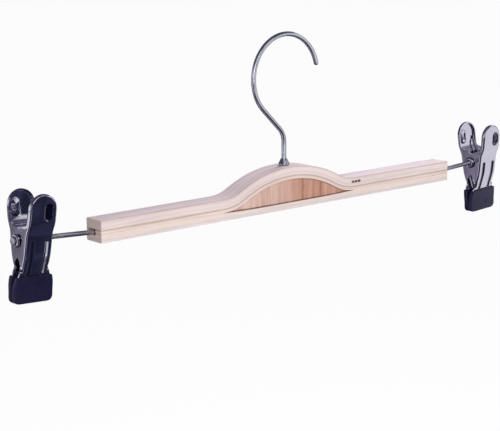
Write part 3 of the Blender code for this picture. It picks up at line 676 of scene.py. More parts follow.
def layer_line(depth):
    """The line of the whole bar at a depth below its top."""
    upright = math.pi / 2
    foot = arc((HALF_HUMP, foot_centre), foot_radius + depth, -upright, -upright - hump_angle, FOOT_STEPS)
    crown = arc((0, crown_centre), CROWN_RADIUS - depth, upright + hump_angle, upright - hump_angle,
                CROWN_STEPS)
    arm = [HALF_BAR + (HALF_HUMP - HALF_BAR) * i / ARM_STEPS for i in range(ARM_STEPS)]
    height = BAR_HEIGHT - depth
    left = [(-x, height) for x in arm] + [(-x, z) for x, z in foot]
    return left + crown[1:-1] + [(-x, z) for x, z in left[::-1]]


def straight_grain(x, z):
    """Distance along a straight lath and depth below the bar's top."""
    return x, BAR_HEIGHT - z


def bent_grain(x, z):
    """The same for a bent lath, as if it were straightened out."""
    if abs(x) >= HALF_HUMP:
        return straight_grain(x, z)
    side = math.copysign(1, x)
    crown_turn = math.atan2(abs(x), z - crown_centre)
    if crown_turn < hump_angle:
        return side * CROWN_RADIUS * crown_turn, CROWN_RADIUS - math.hypot(x, z - crown_centre)
    foot_turn = math.atan2(HALF_HUMP - abs(x), foot_centre - z)
    along = CROWN_RADIUS * hump_angle + foot_radius * (hump_angle - foot_turn)
    return side * along, math.hypot(HALF_HUMP - abs(x), foot_centre - z) - foot_radius


print("hump: crown radius", round(CROWN_RADIUS / MM), "mm, foot radius", round(foot_radius / MM), "mm")

# %% [markdown]
# ## A lath
# A lath is a thin strip of wood, so it is skinned over cross-sections that follow its two lines. Its
# long edges and its ends are rounded over a little, as sandpaper leaves them. Modelling the rounding
# keeps it even round the bend, where a bevel modifier would have to guess which edges are meant.

# %% Laths
ROUNDED_END = (0, 22, 45, 68, 90)


def lath(name, top_line, bottom_line, half_depth, top_ease, bottom_ease, end_ease):
    """A strip of wood between two lines, skinned over rings, its long edges and ends rounded over."""
    spine = list(zip(top_line, bottom_line))
    ends = []
    for (top, bottom), sense in ((spine[0], 1), (spine[-1], -1)):
        eases = [(sense * end_ease * (1 - math.cos(math.radians(angle))),
                  end_ease * (1 - math.sin(math.radians(angle)))) for angle in ROUNDED_END]
        ends.append([((top[0] + draw, top[1]), (bottom[0] + draw, bottom[1]), inset)
                     for draw, inset in eases])
    rings = []
    for top, bottom, inset in ends[0] + [(*pair, 0) for pair in spine[1:-1]] + ends[1][::-1]:
        thick = math.dist(top, bottom)
        way = ((top[0] - bottom[0]) / thick, (top[1] - bottom[1]) / thick)
        high, low = thick - min(inset, top_ease) - top_ease, min(inset, bottom_ease) + bottom_ease
        ring = []
        for quarter, (side, level, ease) in enumerate(((1, high, top_ease), (-1, high, top_ease),
                                                       (-1, low, bottom_ease), (1, low, bottom_ease))):
            start, centre = quarter * math.pi / 2, (side * (half_depth - inset - ease), level)
            for y, rise in arc(centre, ease, start, start + math.pi / 2, 3):
                ring.append((bottom[0] + way[0] * rise, y, bottom[1] + way[1] * rise))
        rings.append(ring)
    return skin_rings(name, rings, sharp_degrees=30)


print("a lath's end is rounded in", len(ROUNDED_END), "steps")

# %% [markdown]
# ## Cut the plies and set them in place
# The hook's wire and collar pass through the top of the hump, and each rod lies in a mortise that
# is cut where the lower ply meets the middle one. After cutting, the grain map is written. The lower
# ply is dished a little under the insert, as the photograph shows.

# %% Cut the plies and set them in place
ARRIS = 0.05 * MM
RUN_GAP = 0.3 * MM
WIRE_RADIUS, WIRE_HOLE_DEPTH = 1.4 * MM, 9 * MM
COLLAR_NECK = WIRE_RADIUS + RUN_GAP + 0.8 * MM
COLLAR_SUNK = 3.8 * MM
SLOT_FRONT, SLOT_BACK = -1.3 * MM, 4.8 * MM
SLOT_FLOOR, SLOT_TOP, SLOT_INNER = 3.6 * MM, 6.7 * MM, 93.35 * MM


def dished(x):
    """Top of the lower ply."""
    return LOWER_PLY - DISH_DEPTH * (1 - min(abs(x) / HALF_HUMP, 1) ** 4)


def hook_hole(radius, depth):
    """Cutter from above the hump down to a depth below its peak."""
    return round_bar(radius + RUN_GAP, hump_peak - depth, hump_peak + 2 * MM, "Z")


def rod_slots():
    """Cutters of the two mortises."""
    far = HALF_BAR + 2 * MM
    return [square_bar(*reach, SLOT_FRONT, SLOT_BACK, SLOT_FLOOR, SLOT_TOP)
            for reach in ((SLOT_INNER, far), (-far, -SLOT_INNER))]


def with_grain(mesh, grain):
    """Smooth shading with sharp arrises, and the grain map from a function of x and z."""
    layer = smoothed(mesh, 30).uv_layers.new(name="grain")
    for loop in mesh.loops:
        x, _, z = mesh.vertices[loop.vertex_index].co
        layer.data[loop.index].uv = grain(x, z)
    return mesh


middle_top = UPPER_PLY + GLUE_GAP
middle_bottom = middle_top + MIDDLE_PLY
insert_top = layer_line(middle_bottom + GLUE_GAP)
wire_hole = (WIRE_RADIUS, WIRE_HOLE_DEPTH)
plies = (
    ("upper_ply", layer_line(0), layer_line(UPPER_PLY), EASED_EDGE, ARRIS,
     [hook_hole(*wire_hole), hook_hole(COLLAR_NECK, COLLAR_SUNK + RUN_GAP)], bent_grain, upper_pine),
    ("middle_ply", layer_line(middle_top), layer_line(middle_bottom), ARRIS, ARRIS,
     [hook_hole(*wire_hole), *rod_slots()], bent_grain, middle_pine),
    ("lower_ply", [(x, dished(x)) for x, z in insert_top], [(x, 0) for x, z in insert_top], ARRIS, EASED_EDGE,
     rod_slots(), straight_grain, lower_pine))
for ply, top, bottom, top_ease, bottom_ease, cutters, grain, finish in plies:
    ply_mesh = lath(f"{ply}_lath", top, bottom, HALF_THICK, top_ease, bottom_ease, EASED_EDGE / 2)
    ply_mesh = with_grain(with_cuts(ply_mesh, cutters), grain)
    add_piece(f"{ply}_lath", ply_mesh, finish, "bar", [ply])
    print(ply, len(ply_mesh.polygons), "faces")

# %% [markdown]
# ## The leaf-shaped insert
# The space between the bent plies and the straight one is filled with a sliver of redder wood, set
# back a little from the faces. It ends in a fine tip at either side, where a shadow line shows.

# %% Insert
INSERT_RECESS = 0.4 * MM
LEAF_TIP = 0.2 * MM
WASHER_RADIUS = 4.1 * MM
FOOT_BOTTOM = hump_peak - 11.35 * MM

leaf_top = [(x, z) for x, z in insert_top if z - dished(x) - GLUE_GAP > LEAF_TIP]
leaf_bottom = [(x, dished(x) + GLUE_GAP) for x, z in leaf_top]
insert_mesh = lath("hump_leaf", leaf_top, leaf_bottom, HALF_THICK - INSERT_RECESS, ARRIS, ARRIS, 0)
insert_mesh = with_cuts(insert_mesh, [round_bar(WASHER_RADIUS + RUN_GAP, FOOT_BOTTOM, hump_peak, "Z")])


def leaf_grain(x, z):
    """Distances to the leaf's upper and lower edge."""
    return bent_grain(x, z)[1] - middle_bottom - GLUE_GAP, z - dished(x) - GLUE_GAP


insert_mesh = with_grain(insert_mesh, leaf_grain)
add_piece("hump_leaf", insert_mesh, insert_wood, "bar", ["hump_insert"])
print("leaf from", round(leaf_top[0][0] / MM, 1), "to", round(leaf_top[-1][0] / MM, 1), "mm")

# %% [markdown]
# ## Glue lines
# A laminated bar shows its joints as fine brown lines. They fill the gap between the solids and stop
# a hair short of the faces, so that no edge glints.

# %% Glue lines
SHY = 0.02 * MM


def glue_line(name, top_line, bottom_line, film_glue, recess):
    """A film of glue between two lines."""
    film = lath(name, top_line, bottom_line, HALF_THICK - recess, SHY, SHY, 0)
    film = with_cuts(film, [hook_hole(*wire_hole), *rod_slots()])
    add_piece(name, film, film_glue, "bar")


glue_line("upper_glue_line", layer_line(UPPER_PLY + SHY), layer_line(middle_top - SHY), brown_glue, 0.1 * MM)
for side, sign in (("left", -1), ("right", 1)):
    run = [x for x, z in insert_top if sign * x >= HALF_HUMP - 0.1 * MM]
    glue_line(f"{side}_lower_glue_line", [(x, LOWER_PLY + GLUE_GAP - SHY) for x in run],
              [(x, LOWER_PLY + SHY) for x in run], clear_glue, SHY)
print("glue films:", 3)

# %% [markdown]
# ## The hook
# One piece of 2.8 mm wire: a peened foot under the hump, a straight shank, a bend aside and a bowl
# of 48 mm, ending in a rounded tip. A poly curve with a round bevel has an even thickness all the
# way, which a swept mesh would need care to keep.

# %% Hook wire
HOOK_BOWL_RADIUS = 24.2 * MM
HOOK_BOWL_HEIGHT = 74.55 * MM
HOOK_BOWL_ASIDE = 1.5 * MM
HOOK_NECK_RADIUS = 11 * MM
HOOK_NECK_TURN = math.radians(46)
HOOK_END_ANGLE = math.radians(15)
HAIR = 0.03 * MM
FOOT_MM = ((1.4, 2.76), (0.93, 4.6), (0.16, 4.6), (0, 2.8))
ROUNDED_TIP = ((0.3, 0.95), (0.6, 0.8), (0.8, 0.6), (0.93, 0.37), (0.99, 0.14))


def wire(name, points, radius, resolution):
    """A round wire through (place, share of the radius) pairs."""
    curve = bpy.data.curves.new(name, "CURVE")
    curve.dimensions = "3D"
    curve.bevel_depth = radius
    curve.bevel_resolution = resolution
    curve.use_fill_caps = True
    spline = curve.splines.new("POLY")
    spline.points.add(len(points) - 1)
    for knot, (place, share) in zip(spline.points, points):
        knot.co = (*place, 1)
        knot.radius = share
    spline.use_smooth = True
    return curve


both_radii = HOOK_NECK_RADIUS + HOOK_BOWL_RADIUS
turn_cos, turn_sin = math.cos(HOOK_NECK_TURN), math.sin(HOOK_NECK_TURN)
straight = (both_radii * turn_cos - HOOK_NECK_RADIUS - HOOK_BOWL_ASIDE) / turn_sin
neck_height = HOOK_BOWL_HEIGHT - both_radii * turn_sin - straight * turn_cos
neck = arc((-HOOK_NECK_RADIUS, neck_height), HOOK_NECK_RADIUS, 0, HOOK_NECK_TURN, 20)
bowl = arc((HOOK_BOWL_ASIDE, HOOK_BOWL_HEIGHT), HOOK_BOWL_RADIUS, math.pi + HOOK_NECK_TURN,
           HOOK_END_ANGLE, 110)
foot_top = FOOT_BOTTOM + 1.7 * MM
hook_points = [((0, 0, foot_top - drop * MM), width / 2.8) for drop, width in FOOT_MM]
hook_points += [((x, 0, z), 1.0) for x, z in neck + bowl]
end_x, end_z = bowl[-1]
for ahead_share, width_share in ROUNDED_TIP:
    forward = ahead_share * WIRE_RADIUS
    hook_points.append(((end_x + forward * math.sin(HOOK_END_ANGLE), 0,
                         end_z - forward * math.cos(HOOK_END_ANGLE)), width_share))
hook_curve = wire("hook_bent_wire", hook_points, WIRE_RADIUS - HAIR, 10)
add_piece("hook_bent_wire", hook_curve, wire_chrome, "hook", ["hook_wire"])
print("hook points:", len(hook_points))

# %% [markdown]
# ## Collar and washer
# Both are turned parts, so both are profiles turned on a lathe. The collar is a flared ferrule that
# lines the hole in the hump, and the washer below takes the load of the hook's foot.

# %% Collar and washer
COLLAR_BRIM = 3.2 * MM
collar_seat = hump_peak + RUN_GAP
collar_bore = WIRE_RADIUS + RUN_GAP
collar_top = collar_seat + 3.4 * MM
lip = 0.22 * MM
collar_profile = [(hump_peak - COLLAR_SUNK, collar_bore), (hump_peak - COLLAR_SUNK, COLLAR_NECK),
                  (collar_seat, COLLAR_NECK)]
collar_profile += [(collar_seat + lip * rise, COLLAR_BRIM - lip * draw)
                   for rise, draw in ((0, 2), (0.6, 0.6), (2, 0), (3.4, 0.2), (5, 1.2))]
collar_mouth = collar_bore + 0.25 * MM
collar_profile += [(collar_seat + lip * 5 + (collar_top - collar_seat - lip * 6) * share,
                    collar_mouth + (COLLAR_BRIM - 1.2 * lip - collar_mouth) * (1 - share) ** 1.15)
                   for share in (0.15, 0.3, 0.5, 0.75, 1)]
collar_profile += [(collar_top, collar_mouth - 0.08 * MM), (collar_top, collar_bore)]
ferrule = turned("hook_ferrule", collar_profile, "Z", 64)
add_piece("hook_ferrule", ferrule, turned_chrome, "bar", ["hook_collar"])
for slot in frame["nodes"]["hook_washer"].material_slots:
    slot.material = turned_chrome
print("collar top at", round(collar_top / MM, 1), "mm")

# %% [markdown]
# ## Rods
# A rod is a hairpin of the same kind of wire. Its folded end lies in the mortise, so it can't turn,
# and its outer end is peened to a head that keeps the clip on. From the bar it rises a little.

# %% Rods
ROD_RADIUS, ROD_HEIGHT, ROD_RISE = 1.3 * MM, 5.2 * MM, math.radians(3.2)
ROD_ELBOW, ROD_INNER, ROD_BACK, FOLD_RADIUS = 133.4 * MM, 96.4 * MM, 0.3 * MM, 1.45 * MM
FOLD_LENGTH, EASING = 20 * MM, 0.5 * MM
HEAD_SEAT, HEAD_LENGTH, HEAD_SHARE = 47.3 * MM, 1.1 * MM, 4.6 / 2.6
PEENED_HEAD = ((0.03, 0.9), (0.1, 0.97), (0.25, 1), (0.5, 0.97),
               (0.68, 0.88), (0.82, 0.72), (0.93, 0.48), (1, 0.2))

hairpin = [(ROD_INNER + FOLD_LENGTH, ROD_BACK + 2 * FOLD_RADIUS)]
hairpin += arc((ROD_INNER, ROD_BACK + FOLD_RADIUS), FOLD_RADIUS, math.pi / 2, math.pi * 3 / 2, 24)
hairpin.append((ROD_ELBOW - EASING, ROD_BACK))
outer_part = [(EASING, 1), (HEAD_SEAT, 1)]
outer_part += [(HEAD_SEAT + HEAD_LENGTH * part, HEAD_SHARE * share) for part, share in PEENED_HEAD]
for side, sign in (("left", -1), ("right", 1)):
    rod_points = [((sign * x, y, ROD_HEIGHT), 1) for x, y in hairpin]
    rod_points += [((sign * (ROD_ELBOW + along * math.cos(ROD_RISE)), ROD_BACK,
                     ROD_HEIGHT + along * math.sin(ROD_RISE)), share) for along, share in outer_part]
    rod_curve = wire(f"{side}_hairpin_rod", rod_points, ROD_RADIUS, 9)
    add_piece(f"{side}_hairpin_rod", rod_curve, satin_chrome, "bar", [f"{side}_rod"])
print("rod points:", len(rod_points))

# %% [markdown]
# ## Where the clips sit
# Each clip is made once about its own hinge line, X along the rod, and then set on its rod. The
# record's joint says where the hinge line is and how far it tilts, so nothing has to be measured.

# %% Clip places
def clip_matrix(side):
    """Place and tilt of a clip's hinge line, from the joint that it swings on."""
    swing = joints[f"{side}_swing"]
    axis = swing["axis"]
    tilt = math.atan2(-axis[2], axis[0])
    return Matrix.Translation(swing["pos_m"]) @ Matrix.Rotation(tilt, 4, "Y")


clip_places = {side: clip_matrix(side) for side in ("left", "right")}
half_turn = Matrix.Rotation(math.pi, 4, "Z")
print("left clip at", [round(part / MM, 1) for part in clip_places["left"].translation], "mm")

# %% [markdown]
# ## Shape of a jaw
# A jaw is one stamping: a web with two pressed ribs, a rounded thumb lobe with an oval dimple, a
# turned rim all round and two ears that reach over the rod. The web's distance from the clip's
# middle plane changes along its height with soft bends. It is modelled as its inner face, row by
# row, and a Solidify modifier then gives it the 0.7 mm of the sheet.

# %% Jaw sizes
SHEET, SHEET_BEND, RIM = 0.7 * MM, 0.3 * MM, 1.2 * MM
HALF_CLIP = 8.4 * MM
INNER_EAR = HALF_CLIP - SHEET - RUN_GAP
EAR_RADIUS = 5.2 * MM
WEB_INSIDE = EAR_RADIUS + 1.7 * MM
LOBE_RADIUS = 7.8 * MM
LOBE_TOP, LOBE_FOOT, HANDLE_FOOT = 24.1 * MM, 8.5 * MM, 5.0 * MM
WAIST_FOOT, EAR_FOOT = 7.6 * MM, 11.5 * MM
COAT_TOP, GRIP_TOP, COAT_BOTTOM = 18.2 * MM, 24.3 * MM, 32.18 * MM
COAT_SKIN = 1.05 * MM
TIP_HALF = 11.5 * MM
SOFT_BEND = 2.2 * MM
MOUTH_INSIDE = 1.2 * MM
SHEET_CORNER = 2.35 * MM
KNOTS = ((COAT_SKIN - COAT_BOTTOM, MOUTH_INSIDE), (-GRIP_TOP, MOUTH_INSIDE),
         (-COAT_TOP, WEB_INSIDE - 4.2 * MM), (-WAIST_FOOT, WEB_INSIDE - 0.6 * MM),
         (HANDLE_FOOT, WEB_INSIDE + 1.2 * MM),
         (LOBE_FOOT, WEB_INSIDE + 3.2 * MM), (LOBE_TOP, WEB_INSIDE + 4.14 * MM))
sheet_bottom = KNOTS[0][0]
tip_half_sheet = TIP_HALF - COAT_SKIN
lobe_centre = LOBE_TOP - LOBE_RADIUS


def eased(value, low, high):
    """Eased share, from 0 at low to 1 at high."""
    share = min(max((value - low) / (high - low), 0), 1)
    return share * share * (3 - 2 * share)


def line_offset(height):
    """The web's offset before its bends are softened."""
    for (low, low_offset), (high, high_offset) in zip(KNOTS, KNOTS[1:]):
        if height <= high:
            break
    return low_offset + (high_offset - low_offset) * (height - low) / (high - low)


def web_offset(height):
    """Distance of the web's inner face from the middle plane, averaged over each soft bend."""
    return sum(line_offset(height + SOFT_BEND * share) for share in (-1, -0.5, 0, 0, 0.5, 1)) / 6


def web_half(height, ear_half):
    """Half the width of a jaw below its lobe."""
    return ear_half + (tip_half_sheet - ear_half) * eased(-height, EAR_FOOT, GRIP_TOP)


def corner_inset(rise, radius):
    """How far a rounded corner draws in at a rise above its end."""
    return 0 if rise >= radius else radius - math.sqrt(max(radius ** 2 - (radius - max(rise, 0)) ** 2, 0))


print("jaw is", round((LOBE_TOP - sheet_bottom) / MM, 1), "mm tall")

# %% [markdown]
# ## Ears, ribs and dimple
# An ear is a disc round the hinge that runs into the rim along two tangents. The ribs are shallow
# channels that stiffen the arm. The dimple is a pressed oval for the thumb, with a firm edge.

# %% Ear outline and pressed relief
RIB_ASIDE, RIB_HALF = 4.2 * MM, 1.5 * MM
RIB_DEPTHS = (0.46 * MM, 0.64 * MM)
RIB_TOP, RIB_BOTTOM = 0.8 * MM, -18.2 * MM
DIMPLE_ASIDE, DIMPLE_UP = 2.9 * MM, 14.9 * MM
DIMPLE_HALF, DIMPLE_LINE = 3.0 * MM, 1.7 * MM
DIMPLE_WALL, WALL_SLOPE, BOWL_SLOPE = 0.5 * MM, 0.55, 0.24
RIM_CATCH = 0.09 * MM
LOBE_SWELL, SWELL_RADIUS = 0.4 * MM, 6.3 * MM


def ear_lip(height):
    """How far an ear reaches across the hinge line at a height."""
    for foot, sense in ((LOBE_FOOT, -1), (-EAR_FOOT, 1)):
        foot_lip = SHEET_BEND + RIM - web_offset(foot)
        spread = math.hypot(foot_lip, foot)
        touch = math.atan2(foot, foot_lip) + sense * math.acos(EAR_RADIUS / spread)
        touch_lip, touch_height = EAR_RADIUS * math.cos(touch), EAR_RADIUS * math.sin(touch)
        if min(foot, touch_height) <= height <= max(foot, touch_height):
            return touch_lip + (foot_lip - touch_lip) * (height - touch_height) / (foot - touch_height)
    return math.sqrt(max(EAR_RADIUS ** 2 - height ** 2, 0))


def rib_share(x, z):
    """1 along the middle of a rib, and 0 off the ribs."""
    length = eased(z, RIB_BOTTOM, RIB_BOTTOM + 0.7 * MM) * eased(-z, -RIB_TOP, 0.7 * MM - RIB_TOP)
    aside = abs(abs(x) - RIB_ASIDE)
    return length * sum(max(1 - abs(aside + shift * MM) / RIB_HALF, 0) for shift in (-0.12, 0, 0.12)) / 3


def pressed_depth(x, z):
    """How far the web is pressed in at a place: two ribs and the dimple."""
    from_rim = DIMPLE_HALF - from_dimple(x, z)[0]
    dent = WALL_SLOPE * min(max(from_rim, 0), DIMPLE_WALL) + BOWL_SLOPE * max(from_rim - DIMPLE_WALL, 0)
    swell = LOBE_SWELL * max(1 - (x * x + (z - lobe_centre) ** 2) / SWELL_RADIUS ** 2, 0) ** 1.5
    return RIB_DEPTHS[x > 0] * rib_share(x, z) + dent - swell


def from_dimple(x, z):
    """Distance from the dimple's middle line, and the nearest height on that line."""
    nearest = DIMPLE_UP + min(max(z - DIMPLE_UP, -DIMPLE_LINE), DIMPLE_LINE)
    return math.hypot(x - DIMPLE_ASIDE, z - nearest), nearest


def drawn_to_rim(x, z):
    """A grid point moved onto the dimple's rim or the foot of its wall, if it lies close to either."""
    away, nearest = from_dimple(x, z)
    for line in (DIMPLE_HALF, DIMPLE_HALF - DIMPLE_WALL):
        if abs(away - line) < RIM_CATCH:
            pull = line / away
            return DIMPLE_ASIDE + (x - DIMPLE_ASIDE) * pull, nearest + (z - nearest) * pull
    return x, z


print("rib depth:", round(pressed_depth(RIB_ASIDE, -8 * MM) / MM, 2), "mm")

# %% [markdown]
# ## One row of the jaw
# Each row starts flat, turns through the bend and runs out into the rim or the ear. Towards the tip
# the bend opens until the sheet is flat, because the coat there wraps a plain blade.

# %% Row and mesh of a jaw
BEND_STEPS = 6
COLUMN_WIDTH = 0.16 * MM
BEND_STRIP = SHEET_BEND * math.pi / 2


def edge_row(height, ear_half, side):
    """One side of a row, from the flat web outwards."""
    fold = math.pi / 2 * max(1 - eased(-height, EAR_FOOT, COAT_TOP - SHEET), 0.001)
    flange = RIM
    if -EAR_FOOT <= height <= LOBE_FOOT:
        flange = max(ear_lip(height) + web_offset(height) - SHEET_BEND, RIM)
    bend_radius = BEND_STRIP / fold
    reach = bend_radius * math.sin(fold) + flange * math.cos(fold) + SHEET * math.sin(fold)
    if height < lobe_centre:
        width = web_half(height, ear_half)
        width += (LOBE_RADIUS - ear_half) * eased(height, HANDLE_FOOT, lobe_centre)
        start_x = width - reach - corner_inset(height - sheet_bottom, SHEET_CORNER)
        start_z, aside, rise = height, 1, 0
    else:
        rise = min((height - lobe_centre) / LOBE_RADIUS, 1)
        aside = math.sqrt(max(1 - rise * rise, 0))
        start_x = aside * (LOBE_RADIUS - reach)
        start_z = lobe_centre + rise * (LOBE_RADIUS - reach)
    row = []
    places = [(i / BEND_STEPS, 0) for i in range(BEND_STEPS + 1)] + [(1, share) for share in (0.34, 0.67, 1)]
    for bend_share, flange_share in places:
        bend = fold * bend_share
        outwards = bend_radius * math.sin(bend) + flange_share * flange * math.cos(bend)
        inwards = bend_radius * (1 - math.cos(bend)) + flange_share * flange * math.sin(bend)
        row.append((side * (start_x + outwards * aside), inwards - web_offset(start_z),
                    start_z + outwards * rise))
    return row


def jaw_rows():
    """Heights of the rows, about half a millimetre apart, and closer in round corners."""
    heights = [sheet_bottom + SHEET_CORNER * share for share in (0, 0.04, 0.12, 0.25, 0.45, 0.7)]
    for low, high, step in ((sheet_bottom + SHEET_CORNER, HANDLE_FOOT, 0.5 * MM),
                            (HANDLE_FOOT, lobe_centre, 0.25 * MM)):
        count = round((high - low) / step)
        heights += [low + (high - low) * i / count for i in range(count)]
    heights += [lobe_centre + LOBE_RADIUS * math.sin(math.radians(angle)) for angle in range(0, 91, 3)]
    return sorted(heights)


def jaw_sheet(name):
    """The inner face of a jaw as one fine grid."""
    bm = bmesh.new()
    columns = [COLUMN_WIDTH * i for i in range(-36, 37)]
    narrowest = INNER_EAR - SHEET - SHEET_BEND
    rows = []
    for height in jaw_rows():
        left, right_side = edge_row(height, HALF_CLIP, -1), edge_row(height, INNER_EAR, 1)
        z = left[0][2]
        web = []
        for x in columns:
            edge = left[0][0] if x < 0 else right_side[0][0]
            x *= min(abs(edge) / narrowest, 1)
            near_x, near_z = drawn_to_rim(x, z)
            web.append((near_x, pressed_depth(near_x, near_z) - web_offset(near_z), near_z))
        rows.append([bm.verts.new(point) for point in left[::-1] + web + right_side])
    for low, high in zip(rows, rows[1:]):
        for i in range(len(low) - 1):
            bm.faces.new((low[i], low[i + 1], high[i + 1], high[i]))
    bmesh.ops.remove_doubles(bm, verts=bm.verts, dist=0.002 * MM)
    return mesh_of(bm, name)


print("jaw rows:", len(jaw_rows()))

# %% [markdown]
# ## Stamp the jaw and bore its ears
# The sheet gets its thickness outwards, then the hinge hole is cut through both ears at once. The
# four jaws are the same stamping: the rear one is the front one turned half round, so that its wide
# ear lies outside the other's narrow one.

# %% Jaws
TUBE_RADIUS = 2.2 * MM
# How far the painted shade ramps in at the dimple's rim, and how strong it is in a rib and on a rib's outer
# wall.
SHADE_RAMP, RIB_SHADE, OUTER_WALL_SHADE = 0.2 * MM, 0.8, 0.1


def recess_shade_share(x, z):
    """How much painted shade darkens the colour: all over the dimple's floor, and in the ribs but for the
    outer wall.
    """
    dimple = (DIMPLE_HALF - from_dimple(x, z)[0] - SHADE_RAMP) / SHADE_RAMP
    rib = (OUTER_WALL_SHADE if x > RIB_ASIDE + 0.1 * MM else RIB_SHADE) * eased(rib_share(x, z), 0.2, 0.6)
    return min(max(dimple, rib), 1)


def stamped_jaw(name):
    """A jaw with its thickness and its hinge holes."""
    blank = link_new(name, jaw_sheet(name))
    stamping = blank.modifiers.new("sheet", "SOLIDIFY")
    stamping.thickness = SHEET
    stamping.offset = 1
    stamping.use_even_offset = True
    stamping.use_quality_normals = True
    mesh = with_cuts(applied(blank), [round_bar(TUBE_RADIUS + RUN_GAP, -HALF_CLIP - MM, HALF_CLIP + MM, "X")])
    # The pressed map holds the painted shade of the dimple and the ribs, on the outer face only.
    layer = smoothed(mesh, 38).uv_layers.new(name="pressed")
    for loop in mesh.loops:
        x, y, z = mesh.vertices[loop.vertex_index].co
        outer = y < pressed_depth(x, z) - web_offset(z) - SHEET / 2
        layer.data[loop.index].uv = (recess_shade_share(x, z) if outer else 0, 0)
    return mesh


jaw_mesh = stamped_jaw("jaw_stamping")
faces_of_clip = (("front", Matrix.Identity(4)), ("rear", half_turn))
for side, place in clip_places.items():
    for face, turn in faces_of_clip:
        jaw = f"{side}_{face}"
        add_piece(f"{jaw}_stamping", jaw_mesh.copy(), pressed_chrome, jaw, [f"{jaw}_jaw"],
                  place @ turn)
print("jaw faces:", len(jaw_mesh.polygons))

# %% [markdown]
# ## Dipped tips
# The lower end of each jaw was dipped in vinyl: a skin of about 0.85 mm with soft corners, a slight
# bead at its upper edge and a pocket that clears the sheet. Rings of a rounded rectangle follow the
# blade up on the outside and down again on the inside. The right front tip has a small pressed dot.

# %% Tips
COAT_GAP = 0.2 * MM
COAT_EDGE = 0.8 * MM
TIP_CORNER = 3.2 * MM
DOT_ASIDE, DOT_HEIGHT = 3.2 * MM, -26.6 * MM
BLADE_STEPS, POCKET_STEPS = 18, 10


def tip_ring(height, left, right_side, near, far, steps=7):
    """A rounded rectangle at one height; near and far are its faces along -Y."""
    corner = min(COAT_EDGE, (far - near) / 3)
    centres = ((right_side - corner, -near - corner), (corner - left, -near - corner),
               (corner - left, corner - far), (right_side - corner, corner - far))
    ring = []
    for quarter, centre in enumerate(centres):
        start = quarter * math.pi / 2
        ring += [(x, y, height) for x, y in arc(centre, corner, start, start + math.pi / 2, steps)]
    return ring


def dipped_tip(name):
    """The coat of one jaw."""
    levels = []
    rises = [COAT_EDGE * share for share in (0, 0.03, 0.1, 0.22, 0.4, 0.65)]
    rises += [TIP_CORNER * share for share in (0.25, 0.35, 0.5, 0.7, 1)]
    outside = [rise - COAT_BOTTOM for rise in rises]
    blade = -COAT_TOP - COAT_EDGE - outside[-1]
    outside += [outside[-1] + blade * i / BLADE_STEPS for i in range(1, BLADE_STEPS + 1)]
    outside += [-COAT_TOP - COAT_EDGE * share for share in (0.7, 0.45, 0.22, 0.08, 0)]
    for height in outside:
        rounded = corner_inset(height + COAT_BOTTOM, COAT_EDGE)
        rounded += corner_inset(-COAT_TOP - height, COAT_EDGE * 0.7) * 0.6
        skin = COAT_SKIN - corner_inset(height + COAT_BOTTOM, TIP_CORNER) - rounded
        levels.append((height, skin, COAT_SKIN - rounded / 2, COAT_SKIN - rounded))
    floor_height = sheet_bottom - COAT_GAP
    pocket = floor_height + SHEET_CORNER + COAT_TOP
    inside = [-COAT_TOP + pocket * i / POCKET_STEPS for i in range(POCKET_STEPS + 1)]
    inside += [floor_height + SHEET_CORNER * share for share in (0.5, 0.15, 0)]
    levels += [(height, COAT_GAP - corner_inset(height - floor_height, SHEET_CORNER), COAT_GAP, COAT_GAP)
               for height in inside]
    rings = []
    for height, skin, skin_inside, skin_outside in levels:
        sheet_inside = web_offset(max(height, sheet_bottom))
        rings.append(tip_ring(height, web_half(height, HALF_CLIP) + skin, web_half(height, INNER_EAR) + skin,
                              sheet_inside - skin_inside, sheet_inside + SHEET + skin_outside))
    return skin_rings(name, rings, sharp_degrees=50)


tip_mesh = dipped_tip("dipped_tip")
pin_face = -web_offset(DOT_HEIGHT) - SHEET - COAT_SKIN - 0.35 * MM
pin = skin_rings("cutter", [[(x, pin_face + depth * MM, z) for x, z in
                             arc((DOT_ASIDE, DOT_HEIGHT), radius * MM, 0, math.tau, 20)[:-1]]
                            for depth, radius in ((0, 1.05), (0.5, 0.8), (0.72, 0.45))])
marked_mesh = smoothed(with_cuts(tip_mesh.copy(), [pin]), 40)
for side, place in clip_places.items():
    for face, turn in faces_of_clip:
        jaw = f"{side}_{face}"
        coat = (marked_mesh if jaw == "right_front" else tip_mesh).copy()
        add_piece(f"{jaw}_dip", coat, vinyl_dip, jaw, [f"{jaw}_tip"], place @ turn)
print("tip faces:", len(tip_mesh.polygons))

# %% [markdown]
# ## Hinge tubes
# A tube runs through all four ears, and its ends are rolled over into rims that keep the ears on.
# It is what slides on the rod. The rim's section is a small quarter round, so it catches the light.

# %% Hinge tubes
RIM_SEAT, HALF_TUBE, TUBE_BORE, RIM_RADIUS = 8.7 * MM, 10.1 * MM, 1.6 * MM, 3.6 * MM

rolled = [(RIM_SEAT, TUBE_RADIUS)]
rolled += [(RIM_SEAT + out * MM, RIM_RADIUS - draw * MM) for out, draw in ((0, 0.3), (0.1, 0.08), (0.35, 0))]
rolled += [(RIM_SEAT + (0.35 + 1.05 * math.sin(angle)) * MM, RIM_RADIUS - 1.15 * (1 - math.cos(angle)) * MM)
           for angle in map(math.radians, (20, 38, 55, 70, 82, 90))]
rolled += [(HALF_TUBE - back * MM, TUBE_BORE + rise * MM)
           for back, rise in ((0, 0.3), (0.15, 0.08), (0.4, 0))]
tube_profile = [(-along, radius) for along, radius in rolled[::-1]] + rolled
for side, place in clip_places.items():
    tube = turned(f"{side}_rolled_tube", tube_profile, "X", 64)
    add_piece(f"{side}_rolled_tube", tube, turned_chrome, f"{side}_tube",
              [f"{side}_hinge_tube"], place)
print("tube profile points:", len(tube_profile))

# %% [markdown]
# ## Torsion springs
# The spring's coil lies round the tube and its two legs push the handles apart. The coil and its
# rear leg move with the rear jaw. The front leg moves with the front jaw, and begins with a short
# arc inside the coil's own wire, so that it still meets the coil when the clip is opened.

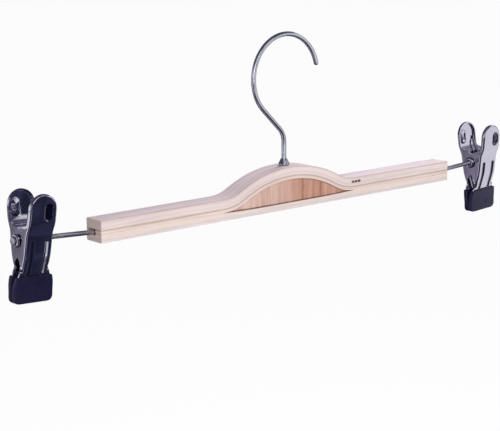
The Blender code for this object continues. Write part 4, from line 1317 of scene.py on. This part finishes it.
# %% Springs
COIL_TURNS = 6
SPRING_WIRE = 0.55 * MM
COIL_RADIUS = TUBE_RADIUS + RUN_GAP + SPRING_WIRE
COIL_REACH = INNER_EAR - SHEET - RUN_GAP - SPRING_WIRE
LEG_HEIGHT, LEG_FOOT = 12.5 * MM, 1.8 * MM
POINTS_A_TURN = 36
OVERLAP = math.radians(50)


def leg_side(height):
    """Distance of a leg's centre from the middle plane, just inside the handle."""
    return web_offset(height) - RUN_GAP - SPRING_WIRE - 0.1 * MM


leg_lean = math.atan2(LEG_HEIGHT, leg_side(LEG_HEIGHT))
leg_leave = math.acos(COIL_RADIUS / math.hypot(leg_side(LEG_HEIGHT), LEG_HEIGHT))
first_angle = math.pi + leg_leave - leg_lean
last_angle = math.tau * (COIL_TURNS + 1) - (leg_leave - leg_lean)


def coil_place(angle):
    """A place on the coil's centre line."""
    along = COIL_REACH * (2 * (angle - first_angle) / (last_angle - first_angle) - 1)
    return along, COIL_RADIUS * math.cos(angle), COIL_RADIUS * math.sin(angle)


def leg_places(side):
    """The two places at a leg's outer end; side is -1 in front and 1 at the rear."""
    return [(side * COIL_REACH, side * leg_side(height), height)
            for height in (LEG_HEIGHT, LEG_HEIGHT + LEG_FOOT)]


steps = round(POINTS_A_TURN * (last_angle - first_angle) / math.tau)
angles = [first_angle + (last_angle - first_angle) * i / steps for i in range(steps + 1)]
coil_points = [(coil_place(angle), 1.0) for angle in angles] + [(place, 1.0) for place in leg_places(1)]
overlap = [angle for angle in angles if angle < first_angle + OVERLAP][::-1]
leg_points = [(coil_place(angle), 0.96) for angle in overlap]
leg_points += [(place, 1.0) for place in leg_places(-1)]
for side, place in clip_places.items():
    coil = wire(f"{side}_coil", coil_points, SPRING_WIRE, 5)
    add_piece(f"{side}_coil", coil, spring_steel, f"{side}_rear", [f"{side}_spring"], place)
    leg = wire(f"{side}_coil_front_leg", leg_points, SPRING_WIRE, 5)
    add_piece(f"{side}_coil_front_leg", leg, spring_steel, f"{side}_front", matrix=place)
print("coil points:", len(coil_points))
